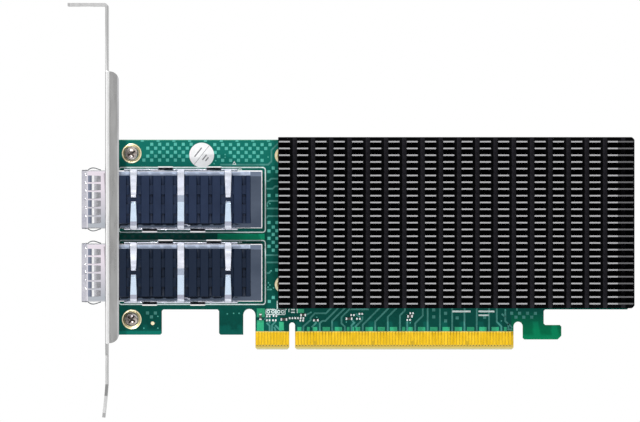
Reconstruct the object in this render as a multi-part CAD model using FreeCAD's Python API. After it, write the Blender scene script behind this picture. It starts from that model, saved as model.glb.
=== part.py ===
import FreeCAD, Part
import math
import os

# Network interface card with two transceiver ports, standing on its edge connector.
# X runs along the card away from the bracket, Z is up, and the component side faces -Y.
# The origin is the middle of the key notch, at the tip of the contact edge, at mid thickness.
# Heights named *_height, *_low and *_high are measured out from a face of the board.

# Board
board_thickness = 1.57
board_left = -57.15
board_length = 167.65
board_top = 68.9
board_lower_edge = 13.15
corner_bevel = 0.5
fixing_tab_right = -42.8
fixing_tab_bottom = 4.85
leg_left = -24.0
leg_right = -16.05
contact_edge_left = -12.05
contact_edge_right = 72.7
contact_corner = 0.6
bevel_height = 1.2
bevel_depth = 0.4
key_notch_width = 1.9
key_notch_top = 8.9
hook_slot_width = 3.0
hook_slot_top = 9.15
hook_bottom = 3.3
hook_length = 12.7
hook_chamfer = 1.2
hook_neck_width = 6.9
hook_arm_top = 8.05

# Edge contacts
contact_pitch = 1.0
contact_width = 0.72
contact_top = 5.85
contact_film = 0.05
contacts_before_key = 11
contacts_after_key = 71
key_to_contact = 1.5

# Bracket, folded from one sheet
bracket_sheet = 1.0
bracket_gap = 3.05
bracket_front_reach = 14.3
bracket_back_reach = 2.55
bracket_top = 113.6
tab_length = 12.3
tab_notch_width = 4.42
tab_notch_depth = 3.9
tab_notch_offset = 6.3
tab_corner = 1.0
fold_radius = 0.3
lip_fold_radius = 0.6
lip_width = 4.5
lip_bottom = 2.2
lip_top = 91.2
lip_corner = 3.0
tongue_width = 10.19
tongue_taper = 4.1
tongue_bottom = -22.2
tongue_first_bend = -11.4
tongue_second_bend = -15.1
tongue_first_offset = 0.3
tongue_offset = 1.05
tongue_corner = 1.5
ear_length = 10.3
ear_height = 6.2
ear_relief = 0.8
ear_bevel = 1.6
light_window_height = 1.2

# Screws through the board into the bracket's ears
bracket_screw_inset = 4.45
upper_screw_z = 64.4
lower_screw_z = 9.9
screw_radius = 1.5
screw_play = 0.05
screw_board_play = 0.15
screw_head_radius = 2.45
screw_head_height = 1.6
screw_head_bevel = 0.8
screw_length = 4.2
recess_width = 0.7
recess_length = 2.4
recess_depth = 0.9
screw_pad_radius = 3.33

# Transceiver cages
lower_port_z = 25.28
port_pitch = 24.0
port_reach = 7.8
cage_length = 59.3
cage_width = 19.0
cage_height = 9.4
cage_sheet = 0.35
cage_corner = 0.3
window_play = 0.25
cage_top_opening_length = 31.0
opening_side_play = 0.5
cage_floor_opening_length = 12.4
catch_length = 4.4
catch_low = 6.2
catch_high = 7.2
catch_proud = 0.35
latch_window_length = 4.0
latch_window_height = 2.6
latch_window_inset = 4.2
vent_count = 6
vent_width = 1.2
vent_height = 4.6

# Spring collar round the mouth of each cage
collar_sheet = 0.15
collar_inset = 0.1
collar_band = 2.0
finger_pitch = 2.7
finger_width = 2.2
finger_length = 4.3
finger_rise = 1.0
fingers_on_wide_face = 6
fingers_on_side_face = 3

# Heat sink riding on each cage
rider_front = -56.95
rider_length = 43.3
rider_inset = 1.65
rider_base = 1.5
rider_top_height = 13.1
rib_width = 2.62
rib_pitch = 3.86
end_rib_width = 1.38
rear_rib_offset = 3.2
bar_width = 3.1
bar_offset = 3.15
bar_drop = 1.1
pedestal_end_play = 0.7
pedestal_inset = 2.3
pedestal_bite = 0.2

# Spring clip over each riding heat sink
clip_sheet = 0.4
clip_play = 0.1
strap_pitch = 15.5
strap_from_rider_front = 20.5
strap_width = 2.2
strap_tip_width = 1.6
strap_clearance = 0.35
strap_arch = 1.1
arm_gap = 1.0
rail_length = 37.2
rail_low = 3.2
rail_high = 9.6
lip_flare = 0.9
lip_length = 5.6

# Port connector inside each cage
connector_side_gap = 0.85
connector_length = 10.4
connector_height = 6.4
connector_rear_gap = 0.4
connector_floor_play = 0.6
connector_bevel = 0.6
card_slot_wall = 0.85
card_slot_height = 1.5
card_slot_depth = 5.2
card_slot_middle = 4.3

# Main heat sink, with cross-cut fins
sink_gap = 5.1
sink_overhang = 1.8
sink_below = 0.42
sink_above = 0.82
sink_lift = 3.0
sink_base = 3.0
sink_top_height = 13.5
sink_corner = 0.8
row_pitch = 2.211
fin_thickness = 0.56
row_margin = 1.33
column_pitch = 5.983
fin_length = 3.57
column_margin = 0.3
end_margin = 0.5
end_step_drop = 1.1
fixing_inset_left = 1.7
fixing_inset_right = 6.5
fixing_inset_top = 6.0
fixing_inset_bottom = 7.75
spacer_radius = 2.0
sink_screw_radius = 1.0
sink_thread_play = 0.05
sink_hole_radius = 1.3
sink_screw_bite = 2.5
sink_screw_head_radius = 2.1
sink_screw_head_height = 1.5
sink_screw_slot = 0.7
pad_film = 0.05

# Small round things are prisms with this many flats
head_flats = 16
shank_flats = 8
label_flats = 24

# Controller and the parts round it
chip_place_along_sink = 0.433
chip_z = 41.0
substrate_size = 35.0
substrate_height = 1.2
lid_size = 31.0
lid_flange = 1.8
lid_rim = 0.4
lid_height = 1.3
thermal_pad_size = 27.0

# Sticker
sticker_x = -29.7
sticker_gap = 1.0
sticker_radius = 4.07
sticker_film = 0.1

# Small electronic parts on the board: middle, size along X and Z, height
inductor_size = 6.6
inductor_height = 2.8
inductor_bevel = 0.5
inductor_inset = 16.5
inductor_bottom = 24.0
inductor_pitch = 9.4
inductor_count = 4
regulator_gap = 2.0
regulator_width = 5.0
regulator_length = 6.0
regulator_height = 0.9
memory_inset = 16.6
memory_z = 23.0
memory_size = 5.2
memory_height = 1.8
oscillator_inset = 15.2
oscillator_z = 57.0
oscillator_length = 3.2
oscillator_width = 2.5
oscillator_height = 0.9
manager_inset = 15.5
manager_z = 40.0
manager_size = 7.0
manager_height = 0.9
bulk_length = 3.2
bulk_width = 1.6
bulk_height = 1.6
bulk_inset = 6.0
bulk_pitch = 4.6
bulk_count = 8
lane_length = 1.0
lane_width = 0.5
lane_height = 0.5
lane_pitch = 4.0
lane_z = 9.6
lane_first_x = 3.5
lane_count = 16
decoupler_pitch = 6.0
decoupler_rows = 4
decoupler_length = 1.6
decoupler_width = 0.8
decoupler_height = 0.8
led_length = 1.6
led_width = 0.8
led_offset = 5.0

# Places worked out from the sizes above
board_right = board_left + board_length
front_face = -board_thickness / 2
back_face = board_thickness / 2
bracket_inner = board_left - bracket_gap
bracket_outer = bracket_inner - bracket_sheet
bracket_front = front_face - bracket_front_reach
bracket_back = back_face + bracket_back_reach
screw_x = board_left + bracket_screw_inset
port_heights = {"lower": lower_port_z, "upper": lower_port_z + port_pitch}
cage_front = bracket_outer - port_reach
cage_rear = cage_front + cage_length
rider_rear = rider_front + rider_length
middle_strap_x = rider_front + strap_from_rider_front
strap_places = [middle_strap_x + step * strap_pitch for step in (-1, 0, 1)]
sink_left = cage_rear + sink_gap
sink_right = board_right + sink_overhang
sink_bottom = board_lower_edge + sink_below
sink_top = board_top + sink_above
sink_base_top = sink_lift + sink_base
fixing_places = [
    (x, z)
    for x in (sink_left + fixing_inset_left, sink_right - fixing_inset_right)
    for z in (sink_bottom + fixing_inset_bottom, sink_top - fixing_inset_top)
]
rider_width = cage_width - 2 * rider_inset
connector_width = cage_width - 2 * (cage_sheet + connector_side_gap)
chip_x = sink_left + chip_place_along_sink * (sink_right - sink_left)
memory_x = sink_left + memory_inset
manager_x = sink_left + manager_inset
oscillator_x = sink_left + oscillator_inset
inductor_x = board_right - inductor_inset
bulk_x = board_right - bulk_inset
sticker_z = port_heights["upper"] + cage_width / 2 + sticker_gap + sticker_radius
nothing = 0.01


def block(x_span, y_span, z_span):
    corner = FreeCAD.Vector(x_span[0], y_span[0], z_span[0])
    size = [span[1] - span[0] for span in (x_span, y_span, z_span)]
    return Part.makeBox(size[0], size[1], size[2], corner)


def about(middle, width):
    return (middle - width / 2, middle + width / 2)


def front_heights(low, high):
    return (front_face - high, front_face - low)


def back_heights(low, high):
    return (back_face + low, back_face + high)


def ring_of_points(radius, x, y, z, flats):
    turn = 2 * math.pi / flats
    return [(x + radius * math.cos(turn * step), y, z + radius * math.sin(turn * step))
            for step in range(flats)]


def rod(radius, x, z, y_span, flats=head_flats):
    points = ring_of_points(radius, x, y_span[0], z, flats)
    return plate(points, (0, y_span[1] - y_span[0], 0))


def plate(points, along):
    """Extrude the closed outline through the points by the vector."""
    corners = [FreeCAD.Vector(*point) for point in points]
    outline = Part.makePolygon(corners + corners[:1])
    return Part.Face(outline).extrude(FreeCAD.Vector(*along))


def joined(first, others):
    return first.fuse(others).removeSplitter()


def edges_along(shape, axis, spots):
    """The straight edges that run along the axis through the spots."""
    across = [name for name in "xyz" if name != axis]
    chosen = []
    for edge in shape.Edges:
        ends = [vertex.Point for vertex in edge.Vertexes]
        if len(ends) != 2:
            continue
        if any(abs(getattr(ends[0], name) - getattr(ends[1], name)) > nothing for name in across):
            continue
        place = [getattr(ends[0], name) for name in across]
        if any(math.dist(place, spot) < nothing for spot in spots):
            chosen.append(edge)
    return chosen


def round_edges(shape, radius, axis, spots):
    return shape.makeFillet(radius, edges_along(shape, axis, spots))


def bevel_edges(shape, width, axis, spots):
    return shape.makeChamfer(width, edges_along(shape, axis, spots))


def folded(path, thickness):
    """Outline of a strip of sheet whose middle follows the path, with mitred folds."""
    sides = ([], [])
    for place, point in enumerate(path):
        before = path[max(place - 1, 0)]
        after = path[min(place + 1, len(path) - 1)]
        turns = [unit(before, point), unit(point, after)]
        turns = [turn for turn in turns if turn is not None]
        normal = (-sum(turn[1] for turn in turns), sum(turn[0] for turn in turns))
        length = math.hypot(*normal)
        normal = (normal[0] / length, normal[1] / length)
        spread = -normal[0] * turns[0][1] + normal[1] * turns[0][0]
        reach = thickness / 2 / spread
        for side, sign in zip(sides, (1, -1)):
            side.append((point[0] + sign * reach * normal[0], point[1] + sign * reach * normal[1]))
    return sides[0] + sides[1][::-1]


def unit(start, end):
    length = math.dist(start, end)
    if length < nothing:
        return None
    return ((end[0] - start[0]) / length, (end[1] - start[1]) / length)


# Board: one outline, then slots with round tops, holes and the bevelled contact edge
def board():
    slot_left = (leg_right + contact_edge_left) / 2
    hook_left = contact_edge_right + hook_slot_width
    hook_right = hook_left + hook_length
    hook_middle = contact_edge_right + hook_slot_width / 2
    outline = [
        (board_left, fixing_tab_bottom),
        (slot_left, fixing_tab_bottom),
        (slot_left, 0),
        (hook_middle, 0),
        (hook_middle, hook_bottom),
        (hook_right - hook_chamfer, hook_bottom),
        (hook_right, hook_bottom + hook_chamfer),
        (hook_right, board_lower_edge),
        (board_right, board_lower_edge),
        (board_right, board_top),
        (board_left, board_top),
    ]
    points = [(x, front_face, z) for x, z in outline]
    body = plate(points, (0, board_thickness, 0))
    through = (front_face - 1, back_face + 1)
    cuts = [
        slot(contact_edge_left - leg_right, slot_left, board_lower_edge + 0.2),
        slot(key_notch_width, 0, key_notch_top),
        slot(hook_slot_width, hook_middle, hook_slot_top),
        open_corner(block((fixing_tab_right, leg_left), through, (-1, board_lower_edge)),
                    [(fixing_tab_right, board_lower_edge), (leg_left, board_lower_edge)]),
        open_corner(block((hook_left + hook_neck_width, hook_right + 1), through,
                          (hook_arm_top, board_lower_edge)),
                    [(hook_left + hook_neck_width, hook_arm_top),
                     (hook_left + hook_neck_width, board_lower_edge)]),
    ]
    for z in (lower_screw_z, upper_screw_z):
        cuts.append(rod(screw_radius + screw_board_play, screw_x, z, through, shank_flats))
    for x, z in fixing_places:
        cuts.append(rod(sink_hole_radius, x, z, through, shank_flats))
    for sign in (-1, 1):
        face = sign * board_thickness / 2
        wedge = [
            (contact_edge_left - 3, face, bevel_height),
            (contact_edge_left - 3, face - sign * bevel_depth, 0),
            (contact_edge_left - 3, face - sign * bevel_depth, -1),
            (contact_edge_left - 3, face + sign, -1),
            (contact_edge_left - 3, face + sign, bevel_height),
        ]
        cuts.append(plate(wedge, (contact_edge_right - contact_edge_left + 4, 0, 0)))
    half_notch = key_notch_width / 2
    for x, sign in ((contact_edge_left, 1), (-half_notch, -1), (half_notch, 1), (contact_edge_right, -1)):
        corner = [
            (x - sign * contact_corner, front_face - 1, -contact_corner),
            (x + 2 * sign * contact_corner, front_face - 1, -contact_corner),
            (x - sign * contact_corner, front_face - 1, 2 * contact_corner),
        ]
        cuts.append(plate(corner, (0, board_thickness + 2, 0)))
    body = body.cut(cuts).removeSplitter()
    return bevel_edges(body, corner_bevel, "y", [
        (board_right, board_top),
        (board_right, board_lower_edge),
        (fixing_tab_right, fixing_tab_bottom),
        (leg_left, fixing_tab_bottom),
        (hook_left, hook_bottom),
        (hook_right, hook_arm_top),
    ])


def slot(width, x, top):
    """Cutter for a slot open at the bottom, with a round top."""
    through = (front_face - 1, back_face + 1)
    middle = top - width / 2
    straight = block(about(x, width), through, (-1, middle))
    return straight.fuse(rod(width / 2, x, middle, through))


def open_corner(cutter, spots):
    return bevel_edges(cutter, corner_bevel, "y", spots)


# Edge contacts: the gilded run on each side of the key notch
def edge_contacts(heights):
    runs = []
    for side, count in ((-1, contacts_before_key), (1, contacts_after_key)):
        near = side * (key_to_contact - contact_width / 2)
        far = near + side * ((count - 1) * contact_pitch + contact_width)
        runs.append(block(sorted((near, far)), heights(0, contact_film),
                          (bevel_height + contact_film, contact_top)))
    return Part.makeCompound(runs)


# Plated rings round the bracket's screws, on the component side
def screw_pads():
    low_high = front_heights(0, pad_film)
    rings = []
    for z in (lower_screw_z, upper_screw_z):
        ring = rod(screw_pad_radius, screw_x, z, low_high)
        rings.append(ring.cut(rod(screw_head_radius, screw_x, z, low_high)))
    return Part.makeCompound(rings)


# Bracket: a plate with a top tab, a lip along one edge, two ears and a long tongue
def bracket():
    sheet_x = (bracket_outer, bracket_inner)
    middle_y = (bracket_front + bracket_back) / 2
    tongue_y = about(middle_y, tongue_width)
    shoulder = [
        (bracket_outer, bracket_front, lip_bottom),
        (bracket_outer, tongue_y[0], lip_bottom - tongue_taper),
        (bracket_outer, tongue_y[1], lip_bottom - tongue_taper),
        (bracket_outer, bracket_back, lip_bottom),
    ]
    upright = block(sheet_x, (bracket_front, bracket_back), (lip_top, bracket_top))
    tab = block((bracket_outer - tab_length, bracket_inner), (bracket_front, bracket_back),
                (bracket_top - bracket_sheet, bracket_top))
    upright = joined(upright, [tab])
    upright = round_edges(upright, fold_radius + bracket_sheet, "y", [(bracket_inner, bracket_top)])
    upright = round_edges(upright, fold_radius, "y", [(bracket_outer, bracket_top - bracket_sheet)])
    free_end = bracket_outer - tab_length
    upright = round_edges(upright, tab_corner, "z", [(free_end, bracket_front), (free_end, bracket_back)])
    upright = upright.cut(tab_notch())

    web = block(sheet_x, (bracket_front, bracket_back), (lip_bottom, lip_top))
    lip = block((bracket_outer, bracket_outer + lip_width), (bracket_front, bracket_front + bracket_sheet),
                (lip_bottom, lip_top))
    web = joined(web, [lip])
    web = round_edges(web, lip_fold_radius + bracket_sheet, "z", [(bracket_outer, bracket_front)])
    web = round_edges(web, lip_fold_radius, "z", [(bracket_inner, bracket_front + bracket_sheet)])
    lip_end = bracket_outer + lip_width
    web = round_edges(web, lip_corner, "y", [(lip_end, lip_bottom), (lip_end, lip_top)])

    ears = []
    for z in (lower_screw_z, upper_screw_z):
        ear_space = about(z, ear_height + 2 * ear_relief)
        web = web.cut(block((bracket_outer - 1, bracket_inner + 1),
                            (back_face + bracket_sheet, bracket_back + 1), ear_space))
        ears.append(ear(z))
    web = web.cut(port_windows() + light_windows())
    sheet = joined(upright, [web, plate(shoulder, (bracket_sheet, 0, 0)), tongue(tongue_y)] + ears)
    fold_spots = [(bracket_outer, back_face + bracket_sheet)]
    return bevel_edges(sheet, bracket_sheet - fold_radius, "z", fold_spots)


def tab_notch():
    x = bracket_outer - tab_notch_offset
    height = (bracket_top - 2 * bracket_sheet, bracket_top + bracket_sheet)
    deep_end = bracket_back - tab_notch_depth + tab_notch_width / 2
    straight = block(about(x, tab_notch_width), (deep_end, bracket_back + 1), height)
    round_end = rod(tab_notch_width / 2, x, deep_end, (-height[1], -height[0]))
    round_end.rotate(FreeCAD.Vector(0, 0, 0), FreeCAD.Vector(1, 0, 0), -90)
    return straight.fuse(round_end)


def tongue(width):
    half = bracket_sheet / 2
    middle = bracket_outer + half
    path = [
        (middle, lip_bottom - tongue_taper),
        (middle, tongue_first_bend),
        (middle - tongue_first_offset, tongue_second_bend),
        (middle - tongue_offset, tongue_bottom),
    ]
    points = [(x, width[0], z) for x, z in folded(path, bracket_sheet)]
    strip = plate(points, (0, width[1] - width[0], 0))
    tip = tongue_bottom + tongue_corner
    for y, sign in ((width[0], 1), (width[1], -1)):
        corner = [
            (bracket_outer - 3, y, tip),
            (bracket_outer - 3, y + sign * tongue_corner, tongue_bottom),
            (bracket_outer - 3, y + sign * tongue_corner, tongue_bottom - 1),
            (bracket_outer - 3, y - sign, tongue_bottom - 1),
            (bracket_outer - 3, y - sign, tip),
        ]
        strip = strip.cut(plate(corner, (6, 0, 0)))
    return strip


def ear(z):
    end = bracket_inner + ear_length
    y_span = (back_face, back_face + bracket_sheet)
    arm = block((bracket_outer, end), y_span, about(z, ear_height))
    corners = [(end, z - ear_height / 2), (end, z + ear_height / 2)]
    arm = bevel_edges(arm, ear_bevel, "y", corners)
    hole = rod(screw_radius + screw_play, screw_x, z, (back_face - 1, bracket_back + 1), shank_flats)
    return arm.cut(hole)


def port_windows():
    y_span = front_heights(-window_play, cage_height + window_play)
    windows = []
    for z in port_heights.values():
        z_span = about(z, cage_width + 2 * window_play)
        windows.append(block((bracket_outer - 1, bracket_inner + 1), y_span, z_span))
    return windows


def light_windows():
    holes = []
    for z in port_heights.values():
        for offset in (-led_offset, led_offset):
            holes.append(block((bracket_outer - 1, bracket_inner + 1),
                               about(back_face + led_width / 2, light_window_height),
                               about(z + offset, light_window_height)))
    return holes


# Screws with a domed head and a cross recess
def bracket_screws():
    return Part.makeCompound([bracket_screw(z) for z in (lower_screw_z, upper_screw_z)])


def bracket_screw(z):
    crown = front_face - screw_head_height
    head = rod(screw_head_radius, screw_x, z, (crown, front_face))
    crown_edges = [edge for edge in head.Edges
                   if all(abs(vertex.Y - crown) < nothing for vertex in edge.Vertexes)]
    head = head.makeChamfer(screw_head_bevel, crown_edges)
    shank = rod(screw_radius, screw_x, z, (front_face, front_face + screw_length), shank_flats)
    recess = [recess_bar(z, angle, crown) for angle in (35, 125)]
    return joined(head.cut(recess), [shank])


def recess_bar(z, angle, crown):
    bar = block(about(0, recess_length), (crown - 1, crown + recess_depth), about(0, recess_width))
    bar.rotate(FreeCAD.Vector(0, 0, 0), FreeCAD.Vector(0, 1, 0), angle)
    bar.translate(FreeCAD.Vector(screw_x, 0, z))
    return bar


# Cage: a folded box, open at its mouth, over the heat sink's pedestal and over the connector
def cage(z):
    sides = about(z, cage_width)
    heights = front_heights(0, cage_height)
    shell = block((cage_front, cage_rear), heights, sides)
    shell = bevel_edges(shell, cage_corner, "x", [(y, side) for y in heights for side in sides])
    inside = block((cage_front - 1, cage_rear - cage_sheet),
                   front_heights(cage_sheet, cage_height - cage_sheet),
                   about(z, cage_width - 2 * cage_sheet))
    top_hole = block(about(middle_strap_x, cage_top_opening_length),
                     front_heights(cage_height - 2 * cage_sheet, cage_height + 1),
                     about(z, cage_width - 2 * (pedestal_inset - opening_side_play)))
    floor_end = cage_rear - cage_sheet
    floor_hole = block((floor_end - cage_floor_opening_length, floor_end),
                       front_heights(-1, 2 * cage_sheet),
                       about(z, connector_width + connector_floor_play))
    cuts = [inside, top_hole, floor_hole] + vents(z) + latch_windows(z)
    shell = shell.cut(cuts)
    return joined(shell, catches(z))


def vents(z):
    spacing = (cage_width - 2 * cage_sheet) / vent_count
    x_span = (cage_rear - 2 * cage_sheet, cage_rear + 1)
    heights = front_heights(cage_height / 2 - vent_height / 2, cage_height / 2 + vent_height / 2)
    first = z - spacing * (vent_count - 1) / 2
    return [block(x_span, heights, about(first + place * spacing, vent_width)) for place in range(vent_count)]


def latch_windows(z):
    middle = front_face - cage_height / 2
    x_start = bracket_inner + latch_window_inset
    return [block((x_start, x_start + latch_window_length), about(middle, latch_window_height),
                  about(z, cage_width + 2))]


def catches(z):
    bumps = []
    wall = cage_width / 2 - cage_sheet / 2
    for x in lip_places():
        for sign in (-1, 1):
            edges = sorted((z + sign * wall, z + sign * (cage_width / 2 + catch_proud)))
            bumps.append(block(about(x, catch_length), front_heights(catch_low, catch_high), edges))
    return bumps


def lip_places():
    """The clip's lead-in lips and windows, halfway between its straps."""
    return [(strap_places[0] + strap_places[1]) / 2, (strap_places[1] + strap_places[2]) / 2]


# Spring collar: a band round the cage's mouth with peaked fingers on all four faces
def collar(z):
    middle_y = front_face - cage_height / 2
    x_span = (cage_front + collar_inset, cage_front + collar_inset + collar_band)
    ring = collar_tube(x_span, middle_y, z, collar_sheet).cut(collar_tube(x_span, middle_y, z, 0))
    fingers = []
    faces = [
        (0, cage_height / 2, fingers_on_wide_face),
        (90, cage_width / 2, fingers_on_side_face),
        (180, cage_height / 2, fingers_on_wide_face),
        (270, cage_width / 2, fingers_on_side_face),
    ]
    for turn, reach, count in faces:
        for place in range(count):
            offset = (place - (count - 1) / 2) * finger_pitch
            finger = collar_finger(reach, offset)
            finger.rotate(FreeCAD.Vector(0, 0, 0), FreeCAD.Vector(1, 0, 0), turn)
            finger.translate(FreeCAD.Vector(x_span[1], middle_y, z))
            fingers.append(finger)
    return joined(ring, fingers)


def collar_tube(x_span, middle_y, z, grown):
    y_span = about(middle_y, cage_height + 2 * grown)
    z_span = about(z, cage_width + 2 * grown)
    tube = block(x_span, y_span, z_span)
    return bevel_edges(tube, cage_corner + grown, "x", [(y, side) for y in y_span for side in z_span])


def collar_finger(reach, offset):
    """One finger on the face that looks along -Y, starting at the band's rear edge."""
    half = collar_sheet / 2
    path = [(-half, half), (finger_length / 2, finger_rise - half), (finger_length, half)]
    points = [(x, -reach - height, offset - finger_width / 2) for x, height in folded(path, collar_sheet)]
    return plate(points, (0, 0, finger_width))


# Riding heat sink: ribs across the cage over two lower bars, with channels for the straps
def rider(z):
    base_top = cage_height + rider_base
    full_width = about(z, rider_width)
    body = block((rider_front, rider_rear), front_heights(cage_height, base_top), full_width)
    bars = []
    for offset in (-bar_offset, bar_offset):
        bars.append(block((rider_front, rider_rear), front_heights(base_top, rider_top_height - bar_drop),
                          about(z + offset, bar_width)))
    channel_heights = front_heights(base_top, rider_top_height + 1)
    channels = []
    for x in strap_places:
        channels.append(block(about(x, strap_width + 2 * strap_clearance), channel_heights, full_width))
    bars = [bar.cut(channels) for bar in bars]
    rib_heights = front_heights(base_top, rider_top_height)
    ribs = [block(span, rib_heights, full_width) for span in rib_spans()]
    pedestal_low = cage_height - cage_sheet - pedestal_bite
    pedestal = block(about(middle_strap_x, cage_top_opening_length - 2 * pedestal_end_play),
                     front_heights(pedestal_low, cage_height), about(z, cage_width - 2 * pedestal_inset))
    return joined(body, bars + ribs + [pedestal])


def rib_spans():
    spans = [(rider_front, rider_front + rib_width)]
    for middle in lip_places():
        for step in (-1, 0, 1):
            spans.append(about(middle + step * rib_pitch, rib_width))
    spans.append(about(strap_places[2] + rear_rib_offset, rib_width))
    spans.append((rider_rear - end_rib_width, rider_rear))
    return spans


# Clip: two rails beside the cage, joined by one whole strap and gripping with four arms
def clip(z):
    rails = []
    straps = []
    for sign in (-1, 1):
        rails.append(rail(z, sign))
        for x in (strap_places[0], strap_places[2]):
            straps.append(clip_arm(x, z, sign))
    straps.append(middle_strap(z))
    return joined(rails[0], rails[1:] + straps)


def rail_offset():
    return cage_width / 2 + clip_play + clip_sheet / 2


def rail(z, sign):
    offset = rail_offset()
    wall_span = sorted((z + sign * (offset - clip_sheet / 2), z + sign * (offset + clip_sheet / 2)))
    wall = block(about(middle_strap_x, rail_length), front_heights(rail_low, rail_high), wall_span)
    windows = []
    lips = []
    for x in lip_places():
        windows.append(block(about(x, catch_length + 0.6), front_heights(catch_low - 0.3, catch_high + 0.3),
                             (wall_span[0] - 1, wall_span[1] + 1)))
        path = [(offset, rail_high - clip_sheet), (offset, rail_high), (offset + lip_flare, rail_high + lip_flare)]
        points = [(x - lip_length / 2, front_face - height, z + sign * side)
                  for side, height in folded(path, clip_sheet)]
        lips.append(plate(points, (lip_length, 0, 0)))
    return joined(wall.cut(windows), lips)


def strap_path(inner_side, inner_height):
    """From the rail up over the cage's edge, then in and down to the heat sink's base."""
    offset = rail_offset()
    press = cage_height + rider_base + clip_sheet / 2
    crown = press + strap_arch
    return [
        (offset, rail_low + clip_sheet),
        (offset, crown - 0.5),
        (offset - 0.7, crown),
        (offset - 2.0, crown),
        (inner_side + 1.0, press),
        (inner_side, press),
        (inner_side - 0.5, inner_height),
    ]


def clip_arm(x, z, sign):
    press = cage_height + rider_base + clip_sheet / 2
    path = strap_path(arm_gap / 2 + 0.7, press + 0.45)
    points = [(x - strap_width / 2, front_face - height, z + sign * side)
              for side, height in folded(path, clip_sheet)]
    arm = plate(points, (strap_width, 0, 0))
    waist = rider_width / 2
    above = front_face - 2 * rider_top_height
    for edge in (-1, 1):
        sliver = [
            (x + edge * strap_width / 2, above, z + sign * waist),
            (x + edge * strap_tip_width / 2, above, z),
            (x + edge * strap_width, above, z),
            (x + edge * strap_width, above, z + sign * waist),
        ]
        arm = arm.cut(plate(sliver, (0, 2 * rider_top_height, 0)))
    return arm


def middle_strap(z):
    press = cage_height + rider_base + clip_sheet / 2
    half = strap_path(1.2, press)[:-1]
    path = half + [(-side, height) for side, height in half[::-1]]
    points = [(middle_strap_x - strap_width / 2, front_face - height, z + side)
              for side, height in folded(path, clip_sheet)]
    return plate(points, (strap_width, 0, 0))


# Port connector: a moulded block with a slot for the transceiver's card
def connector(z):
    rear = cage_rear - cage_sheet - connector_rear_gap
    front = rear - connector_length
    body = block((front, rear), front_heights(0, connector_height), about(z, connector_width))
    edges = [(front, front_face - connector_height), (rear, front_face - connector_height)]
    body = bevel_edges(body, connector_bevel, "z", edges)
    slot_heights = front_heights(card_slot_middle - card_slot_height / 2,
                                 card_slot_middle + card_slot_height / 2)
    slot_width = about(z, connector_width - 2 * card_slot_wall)
    return body.cut(block((front - 1, front + card_slot_depth), slot_heights, slot_width))


# Main heat sink: a comb of long fins on a base, cross-cut into short ones
def main_heatsink():
    height = sink_top - sink_bottom
    rows = int((height - 2 * row_margin) / row_pitch + 0.01) + 1
    first_row = (sink_bottom + sink_top) / 2 - row_pitch * (rows - 1) / 2
    base = block((sink_left, sink_right), front_heights(sink_lift, sink_base_top), (sink_bottom, sink_top))
    base = bevel_edges(base, sink_corner, "y", [(sink_right, sink_top), (sink_right, sink_bottom)])

    fin_left = sink_left + column_margin
    fin_right = sink_right - end_margin
    comb = []
    for row in range(rows):
        low = first_row + row * row_pitch - fin_thickness / 2
        comb += [(low, sink_base_top), (low, sink_top_height)]
        comb += [(low + fin_thickness, sink_top_height), (low + fin_thickness, sink_base_top)]
    comb = [(comb[0][0], sink_base_top - 1)] + comb + [(comb[-1][0], sink_base_top - 1)]
    points = [(fin_left, front_face - height, z) for z, height in comb]
    fins = plate(points, (fin_right - fin_left, 0, 0))

    columns = int((fin_right - fin_left - fin_length) / column_pitch + 0.01)
    across = (sink_bottom - 1, sink_top + 1)
    channels = []
    for column in range(columns - 1):
        channel_left = fin_left + column * column_pitch + fin_length
        channels.append(block((channel_left, channel_left + column_pitch - fin_length),
                              front_heights(sink_base_top, sink_top_height + 1), across))
    step_left = fin_left + (columns - 1) * column_pitch + fin_length
    channels.append(block((step_left, sink_right + 1),
                          front_heights(sink_top_height - end_step_drop, sink_top_height + 1), across))
    return joined(base, [fins.cut(channels)])


# Round spacers under the main heat sink, and the screws from the back that pull it down
def spacers():
    heights = front_heights(0, sink_lift)
    bore = sink_screw_radius + sink_thread_play
    return Part.makeCompound([
        rod(spacer_radius, x, z, heights).cut(rod(bore, x, z, heights, shank_flats))
        for x, z in fixing_places
    ])


def sink_screws():
    screws = []
    head_top = back_face + sink_screw_head_height
    for x, z in fixing_places:
        shank = rod(sink_screw_radius, x, z, (front_face - sink_screw_bite, back_face), shank_flats)
        head = rod(sink_screw_head_radius, x, z, (back_face, head_top))
        slot_cut = block(about(x, 2 * sink_screw_head_radius + 1),
                         (head_top - sink_screw_head_height / 2, head_top + 1),
                         about(z, sink_screw_slot))
        screws.append(joined(head.cut(slot_cut), [shank]))
    return Part.makeCompound(screws)


# Controller: substrate, stepped metal lid and the soft pad up to the heat sink
def square_on_front(size, low, high):
    return block(about(chip_x, size), front_heights(low, high), about(chip_z, size))


def controller_substrate():
    return square_on_front(substrate_size, 0, substrate_height)


def controller_lid():
    rim_top = substrate_height + lid_rim
    rim = square_on_front(lid_size, substrate_height, rim_top)
    return joined(rim, [square_on_front(lid_size - 2 * lid_flange, rim_top, substrate_height + lid_height)])


def thermal_pad():
    return square_on_front(thermal_pad_size, substrate_height + lid_height, sink_lift)


# Parts of the supply and the memory, clock and manager chips beside the controller
def inductor_places():
    return [inductor_bottom + place * inductor_pitch for place in range(inductor_count)]


def inductors():
    coils = []
    for z in inductor_places():
        coil = block(about(inductor_x, inductor_size), front_heights(0, inductor_height),
                     about(z, inductor_size))
        half = inductor_size / 2
        top = front_face - inductor_height
        edges = [(inductor_x - half, top), (inductor_x + half, top)]
        coils.append(bevel_edges(coil, inductor_bevel, "z", edges))
    return Part.makeCompound(coils)


def regulators():
    x = inductor_x - inductor_size / 2 - regulator_gap - regulator_width / 2
    return Part.makeCompound([
        block(about(x, regulator_width), front_heights(0, regulator_height), about(z, regulator_length))
        for z in inductor_places()
    ])


def memory_chip():
    return block(about(memory_x, memory_size), front_heights(0, memory_height),
                 about(memory_z, memory_size))


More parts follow.
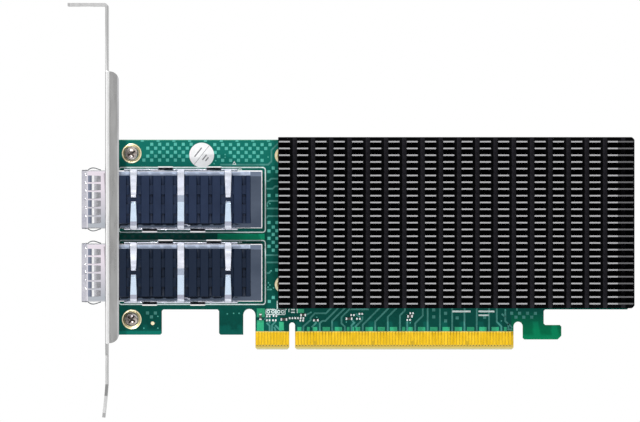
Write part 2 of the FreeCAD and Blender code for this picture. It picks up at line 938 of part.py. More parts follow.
def manager_chip():
    return block(about(manager_x, manager_size), front_heights(0, manager_height),
                 about(manager_z, manager_size))


def oscillator():
    return block(about(oscillator_x, oscillator_length), front_heights(0, oscillator_height),
                 about(oscillator_z, oscillator_width))


def bulk_capacitors():
    first = (sink_bottom + sink_top) / 2 - bulk_pitch * (bulk_count - 1) / 2
    return Part.makeCompound([
        block(about(bulk_x, bulk_length), front_heights(0, bulk_height),
              about(first + place * bulk_pitch, bulk_width))
        for place in range(bulk_count)
    ])


def lane_capacitors():
    return Part.makeCompound([
        block(about(lane_first_x + place * lane_pitch, lane_width), back_heights(0, lane_height),
              about(lane_z, lane_length))
        for place in range(lane_count)
    ])


def back_capacitors():
    pieces = []
    offset = decoupler_pitch * (decoupler_rows - 1) / 2
    for row in range(decoupler_rows):
        for column in range(decoupler_rows):
            x = chip_x - offset + column * decoupler_pitch
            z = chip_z - offset + row * decoupler_pitch
            pieces.append(block(about(x, decoupler_length), back_heights(0, decoupler_height),
                                about(z, decoupler_width)))
    return Part.makeCompound(pieces)


def status_lights():
    lights = []
    for z in port_heights.values():
        for offset in (-led_offset, led_offset):
            lights.append(block((board_left, board_left + led_length), back_heights(0, led_width),
                                about(z + offset, led_width)))
    return Part.makeCompound(lights)


def sticker():
    return rod(sticker_radius, sticker_x, sticker_z, front_heights(0, sticker_film), label_flats)


parts = {
    "board": board(),
    "edge_contacts_front": edge_contacts(front_heights),
    "edge_contacts_back": edge_contacts(back_heights),
    "screw_pads": screw_pads(),
    "bracket": bracket(),
    "bracket_screws": bracket_screws(),
    "main_heatsink": main_heatsink(),
    "heatsink_screws": sink_screws(),
    "heatsink_spacers": spacers(),
    "thermal_pad": thermal_pad(),
    "controller_lid": controller_lid(),
    "controller_substrate": controller_substrate(),
    "power_inductors": inductors(),
    "voltage_regulators": regulators(),
    "memory_chip": memory_chip(),
    "manager_chip": manager_chip(),
    "clock_oscillator": oscillator(),
    "bulk_capacitors": bulk_capacitors(),
    "lane_capacitors": lane_capacitors(),
    "back_capacitors": back_capacitors(),
    "status_lights": status_lights(),
    "round_sticker": sticker(),
}
for side, height in port_heights.items():
    parts["cage_" + side] = cage(height)
    parts["spring_collar_" + side] = collar(height)
    parts["port_heatsink_" + side] = rider(height)
    parts["heatsink_clip_" + side] = clip(height)
    parts["port_connector_" + side] = connector(height)

os.makedirs("parts", exist_ok=True)
for name, shape in parts.items():
    shape.exportStep("parts/" + name + ".step")
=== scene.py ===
import math

import bmesh
import bpy
from mathutils import Matrix, Vector


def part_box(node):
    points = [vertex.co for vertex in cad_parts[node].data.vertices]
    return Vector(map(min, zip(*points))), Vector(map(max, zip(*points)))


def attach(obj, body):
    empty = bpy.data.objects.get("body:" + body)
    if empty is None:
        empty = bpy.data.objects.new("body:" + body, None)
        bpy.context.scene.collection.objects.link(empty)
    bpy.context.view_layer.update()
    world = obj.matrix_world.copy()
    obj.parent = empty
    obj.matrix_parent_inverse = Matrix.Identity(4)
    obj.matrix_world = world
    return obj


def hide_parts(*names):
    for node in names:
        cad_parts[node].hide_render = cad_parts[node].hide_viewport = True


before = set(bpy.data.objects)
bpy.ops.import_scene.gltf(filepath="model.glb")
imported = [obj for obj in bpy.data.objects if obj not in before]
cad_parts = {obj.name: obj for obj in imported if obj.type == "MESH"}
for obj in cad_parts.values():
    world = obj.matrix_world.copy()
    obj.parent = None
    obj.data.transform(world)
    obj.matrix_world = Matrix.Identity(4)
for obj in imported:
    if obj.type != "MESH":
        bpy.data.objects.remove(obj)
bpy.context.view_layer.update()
mm = 0.001


# Camera: a long lens square on to the component side, as far off as keeps the card's
# near and far parts the same size. It looks along +Y, with the contact edge below.
def linked(name, data):
    """A new object in the scene."""
    made = bpy.data.objects.new(name, data)
    bpy.context.scene.collection.objects.link(made)
    return made


view_width = 209.84 * mm
view_middle = (9.15 * mm, 45.48 * mm)
view_plane = -8 * mm
lens = 800
sensor = 36
camera = linked("camera", bpy.data.cameras.new("camera"))
camera.data.lens = lens
camera.data.sensor_width = sensor
camera.data.clip_end = 100
camera.location = (view_middle[0], view_plane - view_width * lens / sensor, view_middle[1])
camera.rotation_euler = (math.radians(90), 0, 0)
bpy.context.scene.camera = camera
bpy.context.scene.view_settings.view_transform = "Standard"


# Studio: a white surround that metal mirrors as soft boxes. The key light comes from above
# and in front, a second from below it, so the gaps between the fins stay dark while the
# channels across them are lit. The floor lies under the card, which hangs in its slot.
def add(tree, kind, *inputs, **settings):
    """A node with its inputs linked or set in their order, where None passes one over."""
    made = tree.nodes.new(kind)
    for setting, value in settings.items():
        setattr(made, setting, value)
    for place, value in enumerate(inputs):
        if isinstance(value, bpy.types.NodeSocket):
            tree.links.new(value, made.inputs[place])
        elif value is not None:
            made.inputs[place].default_value = value
    return made


def maths(tree, operation, *inputs):
    return add(tree, "ShaderNodeMath", *inputs, operation=operation).outputs[0]


world = bpy.data.worlds.new("studio")
bpy.context.scene.world = world
world.use_nodes = True
sky = world.node_tree
sky.nodes.clear()
direction = add(sky, "ShaderNodeSeparateXYZ", add(sky, "ShaderNodeTexCoord").outputs["Generated"])
soft_boxes = 0.25
for axis, sign, sharpness, brightness in (
        (1, -1, 6, 0.68), (1, 1, 4, 0.7), (2, 1, 2, 1.0), (0, 1, 3, 0.6), (0, -1, 4, 0.8)):
    towards = maths(sky, "MAXIMUM", maths(sky, "MULTIPLY", direction.outputs[axis], sign), 0.0)
    glow = maths(sky, "POWER", towards, sharpness)
    soft_boxes = maths(sky, "MULTIPLY_ADD", glow, brightness, soft_boxes)
ambient, mirrored, white = [
    add(sky, "ShaderNodeBackground", (1, 1, 1, 1), strength).outputs[0]
    for strength in (0.32, soft_boxes, 1.0)]
rays = add(sky, "ShaderNodeLightPath").outputs
lit = add(sky, "ShaderNodeMixShader", rays["Is Glossy Ray"], ambient, mirrored).outputs[0]
seen = maths(sky, "MAXIMUM", rays["Is Camera Ray"], rays["Is Transmission Ray"])
surround = add(sky, "ShaderNodeMixShader", seen, lit, white)
add(sky, "ShaderNodeOutputWorld", surround.outputs[0])

for name, travel, strength, angle in (("key_light", (0.16, 1, -0.75), 1.42, 3),
                                      ("low_light", (-0.16, 1, 0.4), 0.8, 4),
                                      ("back_light", (-0.5, -1, -0.8), 1.3, 8)):
    lamp = linked(name, bpy.data.lights.new(name, "SUN"))
    lamp.data.energy = strength
    lamp.data.angle = math.radians(angle)
    lamp.rotation_euler = Vector(travel).to_track_quat("-Z", "Y").to_euler()

reach = 1.2
floor_height = -0.06
floor_mesh = bpy.data.meshes.new("floor")
floor_mesh.from_pydata([(side * reach, depth * reach, floor_height)
                        for side, depth in ((-1, -1), (1, -1), (1, 1), (-1, 1))], [], [(0, 1, 2, 3)])
floor = linked("floor", floor_mesh)
floor.visible_shadow = False
floor_paint = bpy.data.materials.new("floor_paint")
floor_paint.use_nodes = True
paint = floor_paint.node_tree.nodes["Principled BSDF"].inputs
paint["Base Color"].default_value = (0.93, 0.93, 0.93, 1)
paint["Roughness"].default_value = 0.9
floor_mesh.materials.append(floor_paint)


# Board: glass-fibre laminate under a green mask, milled to shape. Its cut edges and the
# tongue between the contacts are bare laminate, chamfered along the tip.
def shader(finish):
    return finish.node_tree.nodes["Principled BSDF"].inputs


def grain(finish, size, stretch=(1, 1, 1), detail=4.0):
    """Noise on object coordinates, with a typical spot of that many millimetres."""
    tree = finish.node_tree
    place = add(tree, "ShaderNodeTexCoord").outputs["Object"]
    scale = [1 / (size * mm * along) for along in stretch]
    scaled = add(tree, "ShaderNodeMapping", place, None, None, scale).outputs[0]
    return add(tree, "ShaderNodeTexNoise", scaled, None, 1.0, detail, 0.55).outputs[0]


def spread(finish, value, low, high):
    """From low to high as the value goes from 0.3 to 0.7."""
    return add(finish.node_tree, "ShaderNodeMapRange", value, 0.3, 0.7, low, high).outputs[0]


def mix_colours(finish, factor, under, over):
    """Colour the finish between under, or what it has so far, and over."""
    tree = finish.node_tree
    mix = add(tree, "ShaderNodeMix", factor, data_type="RGBA")
    if under:
        mix.inputs[6].default_value = (*under, 1)
    else:
        tree.links.new(shader(finish)["Base Color"].links[0].from_socket, mix.inputs[6])
    mix.inputs[7].default_value = (*over, 1)
    tree.links.new(mix.outputs[2], shader(finish)["Base Color"])


def new_finish(name, spots, polish, metallic=0.0, bumps=None, **sockets):
    """A finish with spots of colour (dark, light, grain), a roughness, even or uneven (low,
    high, grain), and bumps (millimetres, grain), where a grain is what grain() takes. The
    plain colour and roughness are for a viewer that doesn't read the patterns."""
    finish = bpy.data.materials.new(name)
    finish.use_nodes = True
    tree = finish.node_tree
    dark, light, *size = spots
    plain = [(first + second) / 2 for first, second in zip(dark, light)]
    shader(finish)["Base Color"].default_value = (*plain, 1)
    shader(finish)["Metallic"].default_value = metallic
    for socket, value in sockets.items():
        shader(finish)[socket.replace("_", " ")].default_value = value
    mix_colours(finish, spread(finish, grain(finish, *size), 0.0, 1.0), dark, light)
    if isinstance(polish, tuple):
        low, high, *size = polish
        tree.links.new(spread(finish, grain(finish, *size), low, high), shader(finish)["Roughness"])
        polish = (low + high) / 2
    shader(finish)["Roughness"].default_value = polish
    if bumps:
        height, *size = bumps
        bump = add(tree, "ShaderNodeBump")
        bump.inputs["Distance"].default_value = height * mm
        tree.links.new(grain(finish, *size), bump.inputs["Height"])
        tree.links.new(bump.outputs[0], shader(finish)["Normal"])
    return finish


def along(finish, axis):
    """The object coordinate along x, y or z."""
    tree = finish.node_tree
    place = add(tree, "ShaderNodeSeparateXYZ", add(tree, "ShaderNodeTexCoord").outputs["Object"])
    return place.outputs["xyz".index(axis)]


def zone(finish, **spans):
    """1 inside the box whose spans along x, y or z are given in millimetres, else 0."""
    tree = finish.node_tree
    inside = None
    for axis, (low, high) in spans.items():
        within = maths(tree, "COMPARE", along(finish, axis), (low + high) / 2 * mm, (high - low) / 2 * mm)
        inside = within if inside is None else maths(tree, "MULTIPLY", inside, within)
    return inside


def fade(finish, axis, start, end):
    """0 up to start and 1 from end on, along x, y or z in millimetres."""
    ramp = add(finish.node_tree, "ShaderNodeMapRange", along(finish, axis), start * mm, end * mm, 0.0, 1.0)
    return ramp.outputs[0]


def facing(finish, axis):
    """1 where the surface looks along the axis, either way, else 0."""
    tree = finish.node_tree
    normal = add(tree, "ShaderNodeSeparateXYZ", add(tree, "ShaderNodeTexCoord").outputs["Normal"])
    towards = maths(tree, "ABSOLUTE", normal.outputs["xyz".index(axis)])
    return maths(tree, "GREATER_THAN", towards, 0.9)


def rest(finish, mask):
    return maths(finish.node_tree, "SUBTRACT", 1.0, mask)


def cover(finish, colour, mask=None, **spans):
    """Paint the colour over what is there, as far as the mask goes from 0 to 1 and only
    inside the box of the spans."""
    if spans:
        inside = zone(finish, **spans)
        mask = inside if mask is None else maths(finish.node_tree, "MULTIPLY", mask, inside)
    mix_colours(finish, mask, None, colour)


def vary(finish, socket, mask, outside, inside):
    """Set a number of the finish to one value outside the mask and another inside it."""
    tree = finish.node_tree
    value = add(tree, "ShaderNodeMapRange", mask, 0.0, 1.0, outside, inside).outputs[0]
    tree.links.new(value, shader(finish)[socket])


def dress(node, finish):
    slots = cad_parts[node].data.materials
    slots.clear()
    slots.append(finish)


green_mask = new_finish("green_mask", ((0.002, 0.078, 0.061), (0.0035, 0.1, 0.078), 14), (0.26, 0.4, 3),
                        bumps=(0.004, 0.7), Specular_IOR_Level=0.04)
# Painted light: the mask lightens towards the top edge, over the strip above the cages.
cover(green_mask, (0.007, 0.165, 0.128), fade(green_mask, "z", 55, 62))
# A lighter patch of mask over copper at the right, which fades out towards the heat sink as painted shade.
cover(green_mask, (0.001, 0.19, 0.083), fade(green_mask, "z", 13, 6.5), x=(72, 90))
# The flood between the cages is lighter green, brightened further as painted light in the cages' shade.
cover(green_mask, (0.006, 0.33, 0.17), x=(-24.5, -9), y=(-1, 0), z=(36, 38))
cover(green_mask, (0.004, 0.16, 0.12), x=(-57, -43), z=(4.8, 6.1))
# Painted highlight along the board's top edge.
cover(green_mask, (0.05, 0.3, 0.2), x=(-58, 111), z=(68.6, 69))
tongue = (-12.2, 73.5)
cut_edges = rest(green_mask, facing(green_mask, "y"))
bare = maths(green_mask.node_tree, "MAXIMUM", cut_edges, zone(green_mask, x=tongue, z=(-1, 6)))
cover(green_mask, (0.62, 0.53, 0.2), bare)
cover(green_mask, (0.62, 0.4, 0.025), x=tongue, y=(-1, 1), z=(1.5, 5.87))
cover(green_mask, (0.6, 0.43, 0.09), x=tongue, y=(-1, 1), z=(0.75, 1.5))
cover(green_mask, (0.56, 0.55, 0.36), x=tongue, y=(-1, 1), z=(-0.1, 0.3))
dress("board", green_mask)
front_face = -0.785
back_face = 0.785


# Copper under the mask: squares that even out the plating, the lanes that run up from the
# contacts to the controller, the lands over each pair of contacts and wider floods. All of it
# stands a few hundredths of a millimetre proud, and the mask looks lighter over it.
def meshed(name, shape):
    mesh = bpy.data.meshes.new(name)
    shape.to_mesh(mesh)
    shape.free()
    return mesh


def piece(name, shape, finish, slot, *nodes, smooth=35):
    """Turn a bmesh drawn in millimetres into a piece of the card, in place of the nodes."""
    bmesh.ops.scale(shape, vec=(mm, mm, mm), verts=shape.verts)
    bmesh.ops.recalc_face_normals(shape, faces=shape.faces)
    return placed(name, meshed(name, shape), finish, slot, *nodes, smooth=smooth)


def placed(name, mesh, finish, slot, *nodes, smooth=35):
    mesh.materials.clear()
    mesh.materials.append(finish)
    for face in mesh.polygons:
        face.use_smooth = True
    mesh.set_sharp_from_angle(angle=math.radians(smooth))
    made = linked(name, mesh)
    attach(made, "root")
    if nodes:
        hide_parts(*nodes)
    return made


def on_front(low, high):
    """Heights above the component side, as a span of Y."""
    return (front_face - high, front_face - low)


def on_back(low, high):
    return (back_face + low, back_face + high)


def about(middle, width):
    return (middle - width / 2, middle + width / 2)


def stamp_tree():
    """One small plate, square or round, on every point that it is given."""
    tree = bpy.data.node_groups.new("stamp_on_points", "GeometryNodeTree")
    for name, kind in (("Points", "Geometry"), ("Width", "Float"), ("Thickness", "Float"),
                       ("Height", "Float"), ("Round", "Bool"), ("Finish", "Material")):
        tree.interface.new_socket(name, in_out="INPUT", socket_type="NodeSocket" + kind)
    tree.interface.new_socket("Plates", in_out="OUTPUT", socket_type="NodeSocketGeometry")
    given = tree.nodes.new("NodeGroupInput").outputs
    square = add(tree, "GeometryNodeMeshCube", (1, 1, 1)).outputs["Mesh"]
    disc = add(tree, "GeometryNodeMeshCylinder", 16, 1, 1, 0.5, 1.0).outputs["Mesh"]
    disc = add(tree, "GeometryNodeTransform", disc)
    disc.inputs["Rotation"].default_value = (math.radians(90), 0, 0)
    chosen = add(tree, "GeometryNodeSwitch", given["Round"], square, disc.outputs[0], input_type="GEOMETRY")
    size = add(tree, "ShaderNodeCombineXYZ", given["Width"], given["Thickness"], given["Height"])
    plates = add(tree, "GeometryNodeInstanceOnPoints", given["Points"])
    tree.links.new(chosen.outputs[0], plates.inputs["Instance"])
    tree.links.new(size.outputs[0], plates.inputs["Scale"])
    solid = add(tree, "GeometryNodeRealizeInstances", plates.outputs[0])
    finished = add(tree, "GeometryNodeSetMaterial", solid.outputs[0])
    tree.links.new(given["Finish"], finished.inputs["Material"])
    add(tree, "NodeGroupOutput", finished.outputs[0])
    return tree


stamp = stamp_tree()


def stamped(name, places, size, y_span, finish, slot, *nodes, is_round=False):
    """Plates of width by height round the (x, z) places, on the face that y_span gives."""
    points = bpy.data.meshes.new(name + "_points")
    points.from_pydata([(x * mm, sum(y_span) / 2 * mm, z * mm) for x, z in places], [], [])
    holder = linked(name + "_points", points)
    modifier = holder.modifiers.new("stamp", "NODES")
    modifier.node_group = stamp
    values = {"Width": size[0] * mm, "Thickness": (y_span[1] - y_span[0]) * mm,
              "Height": size[1] * mm, "Round": is_round, "Finish": finish}
    for socket in stamp.interface.items_tree:
        if socket.name in values:
            modifier[socket.identifier] = values[socket.name]
    graph = bpy.context.evaluated_depsgraph_get()
    mesh = bpy.data.meshes.new_from_object(holder.evaluated_get(graph))
    bpy.data.objects.remove(holder)
    mesh.name = name
    return placed(name, mesh, finish, slot, *nodes)


def box(shape, x_span, y_span, z_span):
    corners = [shape.verts.new((x, y, z)) for x in x_span for y in y_span for z in z_span]
    for face in ((0, 1, 3, 2), (4, 6, 7, 5), (0, 4, 5, 1), (2, 3, 7, 6), (0, 2, 6, 4), (1, 5, 7, 3)):
        shape.faces.new([corners[corner] for corner in face])


def tube(shape, rings, closed=False):
    """Join rings of corners one to the next, and the last to the first where it is closed."""
    for first, second in zip(rings, rings[1:] + rings[:1] if closed else rings[1:]):
        for corner in range(len(first)):
            following = (corner + 1) % len(first)
            shape.faces.new((first[corner], first[following], second[following], second[corner]))
    if not closed:
        shape.faces.new(rings[0])
        shape.faces.new(rings[-1])


def track(shape, path, width, y_span):
    """A flat strip with mitred corners along (x, z) points, closed where they come back."""
    closed = path[0] == path[-1]
    points = path[:-1] if closed else path
    rims = []
    for place, point in enumerate(points):
        before = points[place - 1] if place > 0 or closed else None
        after = points[(place + 1) % len(points)] if place + 1 < len(points) or closed else None
        turns = [(Vector(end) - Vector(start)).normalized()
                 for start, end in ((before, point), (point, after)) if start and end]
        normal = sum((Vector((-turn.y, turn.x)) for turn in turns), Vector((0, 0))).normalized()
        reach_out = width / 2 / max(normal.dot(Vector((-turns[0].y, turns[0].x))), 0.4)
        out_x, out_z = reach_out * normal.x, reach_out * normal.y
        rims.append([shape.verts.new((point[0] + side * out_x, y, point[1] + side * out_z))
                     for side, y in ((1, y_span[0]), (-1, y_span[0]), (-1, y_span[1]), (1, y_span[1]))])
    tube(shape, rims, closed)


def masked_copper(name, dark, light):
    return new_finish(name, (dark, light, 2.5), (0.24, 0.38, 1), Specular_IOR_Level=0.2)


masked_square = masked_copper("mask_over_square", (0.08, 0.44, 0.36), (0.11, 0.52, 0.43))
lane_mask_and_shade = masked_copper("mask_over_lane_and_painted_shade", (0.035, 0.21, 0.175), (0.07, 0.3, 0.26))
masked_flood = masked_copper("mask_over_flood", (0.015, 0.36, 0.17), (0.04, 0.46, 0.24))
# A dark copy of the mask over copper: painted shade on the squares between the cages, and the colour of the
# tie bars.
dark_mask_and_shade = masked_copper("mask_dark_and_painted_shade", (0.002, 0.06, 0.05), (0.003, 0.08, 0.065))

copper = on_front(-0.01, 0.03)
back_copper = on_back(-0.01, 0.03)
square = (1.0, 1.0)
square_pitch = 2.59
row_drop = 1.3
# Rows of squares: their height, the first one's place and their number
square_rows = [
    (67.4, -46.1, 6), (66.1, -47.4, 6), (64.8, -46.1, 5), (63.5, -47.4, 6), (62.2, -48.7, 6),
    (67.3, -25.4, 8), (66.0, -24.2, 7), (64.7, -25.3, 1), (64.7, -20.3, 5), (63.4, -24.1, 1),
    (63.4, -19.0, 4), (62.1, -22.8, 6), (59.6, -6.2, 1), (58.4, -7.6, 2), (50.6, -7.6, 2),
    (41.7, -7.6, 2), (40.2, -6.2, 1), (39.0, -7.6, 2), (37.8, -6.2, 1), (36.5, -7.6, 2),
    (35.2, -6.2, 1), (33.9, -7.6, 2), (32.6, -6.2, 1), (26.1, -5.1, 1), (17.1, -6.2, 1), (15.8, -7.5, 1),
]
# The low rows take the darker lane finish as painted shade.
low_square_rows = [
    (13.0, 46.5, 1), (10.7, 46.5, 1), (11.9, 50.4, 1), (9.4, 50.4, 1), (10.4, 54.2, 1),
    (10.6, 63.2, 1), (11.9, 72.1, 4), (10.6, 73.5, 3), (12.0, -47.5, 2), (10.7, -46.2, 1),
]
for name, finish, row_table in (("plating_squares", masked_square, square_rows),
                                ("plating_squares_low", lane_mask_and_shade, low_square_rows)):
    places = [(first + square_pitch * step, z) for z, first, count in row_table for step in range(count)]
    stamped(name, places, square, copper, finish, "circuit_board")
stamped("plating_squares_at_edge", [(-49.2 + 2 * square_pitch * step, 68.5) for step in range(9)],
        (square[0], 0.5), copper, masked_square, "circuit_board")
# The squares between the cages are painted in shade.
places = [(-56.2 + square_pitch * (step + row / 2), 38.4 - row_drop * row)
          for row in range(2) for step in range(11)]
stamped("plating_squares_between_cages", places, square, copper, dark_mask_and_shade, "circuit_board")

under_sink = 15.0
over_contacts = 5.95
lane_width = 0.55
lane_pitch = 4.03
port_lanes = [
    [(-23.6, 60.7), (-7.9, 60.7), (-6.8, 61.8), (-6.8, 65.5), (-4.6, 67.7)],
    [(-8.6, 55.3), (-7.7, 55.3), (-6.9, 56.1), (-3.0, 56.1)],
    [(-8.6, 52.8), (-6.4, 52.8), (-5.6, 53.6), (-3.0, 53.6)],
    [(-8.3, 47.1), (-8.2, 48.0), (-7.4, 48.8), (-3.0, 48.8)],
    [(-8.6, 46.3), (-3.0, 46.3)],
    [(-8.6, 43.1), (-7.9, 43.8), (-3.0, 43.8)],
    [(-8.6, 31.0), (-3.0, 31.0)],
    [(-8.6, 28.6), (-3.0, 28.6)],
    [(-8.6, 25.1), (-7.6, 25.1), (-6.9, 25.9)],
    [(-8.4, 19.7), (-6.9, 19.7)],
]
short_lanes = [
    [(-8.4, 8.8), (-7.4, 7.8), (-7.4, over_contacts)],
    [(-7.4, 10.2), (-7.4, 8.6)],
    [(-6.6, over_contacts), (-6.6, 8.0), (-5.4, 9.2)],
    [(-5.6, 8.0), (-3.6, 6.0)],
    [(-5.9, 7.4), (-5.4, 6.1)],
    [(-9.2, 9.8), (-8.4, 10.6)],
    [(4.7, 11.4), (6.2, 12.2)],
    [(21.2, 11.9), (21.2, 11.4), (22.1, 10.8)],
    [(19.0, 13.2), (25.2, 13.2)],
    [(37.8, over_contacts), (37.8, 9.3)],
    [(71.0, 8.5), (71.0, 6.6), (72.2, 6.6)],
    [(68.8, 11.7), (70.0, 10.7)],
]
slanted_lanes = [
    [(3.7, over_contacts), (3.7, 7.6), (6.2, 9.8), (6.0, 10.3), (7.5, 11.9), (11.1, 11.9),
     (14.2, under_sink)],
    [(6.4, 7.3), (7.8, 8.7), (7.8, 9.3)],
    [(9.1, over_contacts), (9.1, 8.6), (9.9, 9.4), (10.9, 9.4), (16.5, under_sink)],
    [(13.1, over_contacts), (13.1, 9.4), (18.7, under_sink)],
    [(17.3, over_contacts), (17.3, 7.5), (16.2, 8.6), (16.2, 10.6), (20.6, under_sink)],
    [(19.5, over_contacts), (19.5, 7.9), (20.4, 8.8), (19.5, 9.8)],
    [(20.6, 7.3), (22.9, 9.6), (23.1, 10.1), (23.1, 10.9)],
    [(23.2, over_contacts), (23.2, 8.1), (30.1, under_sink)],
    [(27.3, over_contacts), (27.3, 9.2), (33.1, under_sink)],
    [(31.4, over_contacts), (31.4, 10.7), (35.7, under_sink)],
    [(35.4, over_contacts), (35.4, 11.2), (37.0, 12.8), (37.0, under_sink)],
    [(40.4, over_contacts), (40.4, 8.6), (42.9, 11.1), (42.9, under_sink)],
    [(68.7, over_contacts), (68.7, 7.6), (67.2, 9.1), (67.2, under_sink)],
    [(72.4, 7.1), (70.0, 9.3), (70.0, 13.0)],
    [(72.6, under_sink), (73.8, 13.8), (73.8, 12.8)],
]
straight_lanes = [[(44.5 + lane_pitch * step, z) for z in (over_contacts, under_sink)] for step in range(6)]
lanes = bmesh.new()
for path in port_lanes + short_lanes + slanted_lanes + straight_lanes:
    track(lanes, path, lane_width, copper)
piece("lanes", lanes, lane_mask_and_shade, "circuit_board")

back_lane_width = 0.4
port_lane_width = 0.35
# Each lane of the solder side rises from its contact, bends and ends under the controller
back_lane_starts = [3.5 + lane_pitch * step for step in range(16)]
back_lane_ends = [46 + (x - 33.7) * 0.42 for x in back_lane_starts]
innermost = 12
# Lanes from each port: the first one's height, their pitch, and where the first and last end
port_bundles = ((25.4, 1.1, (27.5, 33.0)), (43.4, 1.4, (38.0, 44.0)))
back_lanes = bmesh.new()
for step, (x, end) in enumerate(zip(back_lane_starts, back_lane_ends)):
    side = 1 if step <= innermost else -1
    bend = 12.3 + 0.85 * abs(step - innermost)
    track(back_lanes, [(x, over_contacts), (x, 9.0)], lane_width, back_copper)
    track(back_lanes, [(x, 10.2), (x, bend - 0.6), (x + side * 0.6, bend), (end - side * 0.6, bend),
                       (end, bend + 0.6), (end, 24.0 + step % 2)], back_lane_width, back_copper)
for first, pitch, ends in port_bundles:
    for step in range(8):
        z = first + pitch * step
        end = ends[0] + (ends[1] - ends[0]) * step / 7
        turn = step + 0.5
        track(back_lanes, [(-10.0, z), (turn, z), (turn + abs(z - end), end), (26.0, end)],
              port_lane_width, back_copper)
piece("back_lanes", back_lanes, lane_mask_and_shade, "circuit_board")
places = [(x + square_pitch * (step + row % 2 / 2), z - row_drop * row)
          for x, z, row_count, count in ((-54.5, 67.4, 3, 15), (74.0, 61.0, 28, 13))
          for row in range(row_count) for step in range(count)]
stamped("back_plating_squares", places, square, back_copper, masked_square, "circuit_board")

land_copper = on_front(-0.01, 0.035)
land_heights = (6.1, 7.4)
wide_lands = [11.2, 15.2, 25.3, 29.3, 33.3] + [42.5 + lane_pitch * step for step in range(7)]
narrow_lands = [(2.4, 1.3), (5.3, 0.9), (7.5, 1.5), (18.4, 0.9), (20.1, 0.5), (21.6, 1.5), (36.6, 1.0),
                (38.9, 1.5), (70.0, 0.9)]
lands = bmesh.new()
for x, width in [(x, 2.4) for x in wide_lands] + narrow_lands:
    box(lands, about(x, width), land_copper, land_heights)
for x_span, z_span in (((-11.6, -9.0), (10.6, 13.5)), ((-11.6, -9.3), (6.1, 9.6)),
                       ((-4.3, -2.7), (6.3, 9.1)), ((1.6, 3.9), (12.0, 13.3))):
    box(lands, x_span, land_copper, z_span)
piece("lands", lands, masked_flood, "circuit_board")

# Tinned spots: the solder lands of small parts, where solder has flowed, so they are bright and uneven, and
# the vias under the mask. The bare round mark that the placing machine looks for is drawn with the plated
# rings.
solder = new_finish("solder", ((0.55, 0.57, 0.58), (0.88, 0.9, 0.9), 0.5), (0.2, 0.45, 0.3), 1.0,
                    (0.03, 0.35))
via_places = [
    (-22.0, 64.0), (-22.0, 63.1), (-7.9, 63.2), (-25.1, 62.0), (-25.6, 61.0), (-44.1, 10.9), (-48.7, 7.0),
    (-44.1, 7.0), (-7.3, 47.9), (-8.1, 47.1), (-7.8, 21.9), (-7.3, 21.2), (-7.9, 20.5), (-6.1, 20.2),
    (-6.9, 19.7), (8.1, 10.6), (17.8, 9.0), (38.8, 8.8), (68.7, 9.4), (6.2, 12.2), (-21.3, 11.7),
    (-19.2, 11.9), (-17.4, 11.9), (-6.9, 25.9), (22.1, 10.8), (70.0, 13.0),
]
back_vias = [(x, z) for x in (34.0, 38.7, 43.4, 48.1, 52.8, 57.5)
             for z in (26.5, 29.5, 34.2, 38.9, 43.6, 48.3, 53.0)]
back_vias += [(end, 24.4 + step % 2) for step, end in enumerate(back_lane_ends)]
back_vias += [(-10.2, first + pitch * step) for first, pitch, ends in port_bundles for step in range(8)]
back_vias += [(70.5 + 1.2 * column, 20.0 + 2.4 * row) for row in range(17) for column in range(2)]
stamped("back_vias", back_vias, (0.5, 0.5), on_back(-0.01, 0.05), masked_square, "circuit_board",
        is_round=True)
stamped("vias", via_places, (0.45, 0.45), on_front(-0.01, 0.05), masked_square, "circuit_board",
        is_round=True)

land_pairs = [
    (-8.3, 10.9), (-6.1, 11.0), (-8.3, 9.6), (-6.3, 9.6), (-0.8, 10.3), (1.0, 10.3), (2.8, 10.3), (2.7, 9.5),
    (19.4, 11.3), (22.1, 11.7), (21.3, 10.1), (38.8, 11.9), (37.8, 9.7),
]
# Small chips: the place of the middle, the length and the width
small_chips = [
    (-2.7, 9.9, 1.7, 0.8), (3.6, 11.3, 1.4, 0.8), (7.8, 9.6, 1.3, 0.7), (18.7, 10.1, 1.7, 0.8),
    (38.7, 10.9, 1.3, 0.8),
]
chip_ends = on_front(-0.01, 0.5)
chip_backs = on_front(-0.01, 0.45)
solder_lands = bmesh.new()
chip_bodies = bmesh.new()
for x, z in land_pairs:
    for offset in (0, 0.9):
        box(solder_lands, about(x + offset, 0.5), on_front(-0.01, 0.08), about(z, 0.6))
for x, z, length, width in small_chips:
    for side in (-1, 1):
        box(solder_lands, about(x + side * length / 2, 0.45), chip_ends, about(z, width))
    box(chip_bodies, about(x, length - 0.3), chip_backs, about(z, width - 0.08))
for side in (-1, 1):
    box(solder_lands, about(-10.4, 0.8), chip_ends, about(10.7 + side * 0.8, 0.4))
box(chip_bodies, about(-10.4, 0.7), chip_backs, about(10.7, 1.5))
piece("solder_lands", solder_lands, solder, "gold_plating")
chip_clay = new_finish("chip_clay", ((0.04, 0.032, 0.03), (0.11, 0.085, 0.07), 0.6), 0.5,
                       bumps=(0.01, 0.15))
piece("small_chip_bodies", chip_bodies, chip_clay, "capacitor_ceramic")


# Print: white outlines round the places of the parts, corner marks and plain bars, in epoxy
# ink screened on to the mask.
def rounded(x_span, z_span, radius, steps=4):
    """Points of a closed rectangle with round corners."""
    left, right = x_span[0] + radius, x_span[1] - radius
    bottom, top = z_span[0] + radius, z_span[1] - radius
    points = []
    for quarter, (x, z) in enumerate(((right, top), (left, top), (left, bottom), (right, bottom))):
        for step in range(steps + 1):
            angle = math.radians(90 * (quarter + step / steps))
            points.append((x + radius * math.cos(angle), z + radius * math.sin(angle)))
    return points + points[:1]


def circle(x, z, radius, steps=16):
    angles = [2 * math.pi * step / steps for step in range(steps)]
    points = [(x + radius * math.cos(angle), z + radius * math.sin(angle)) for angle in angles]
    return points + points[:1]


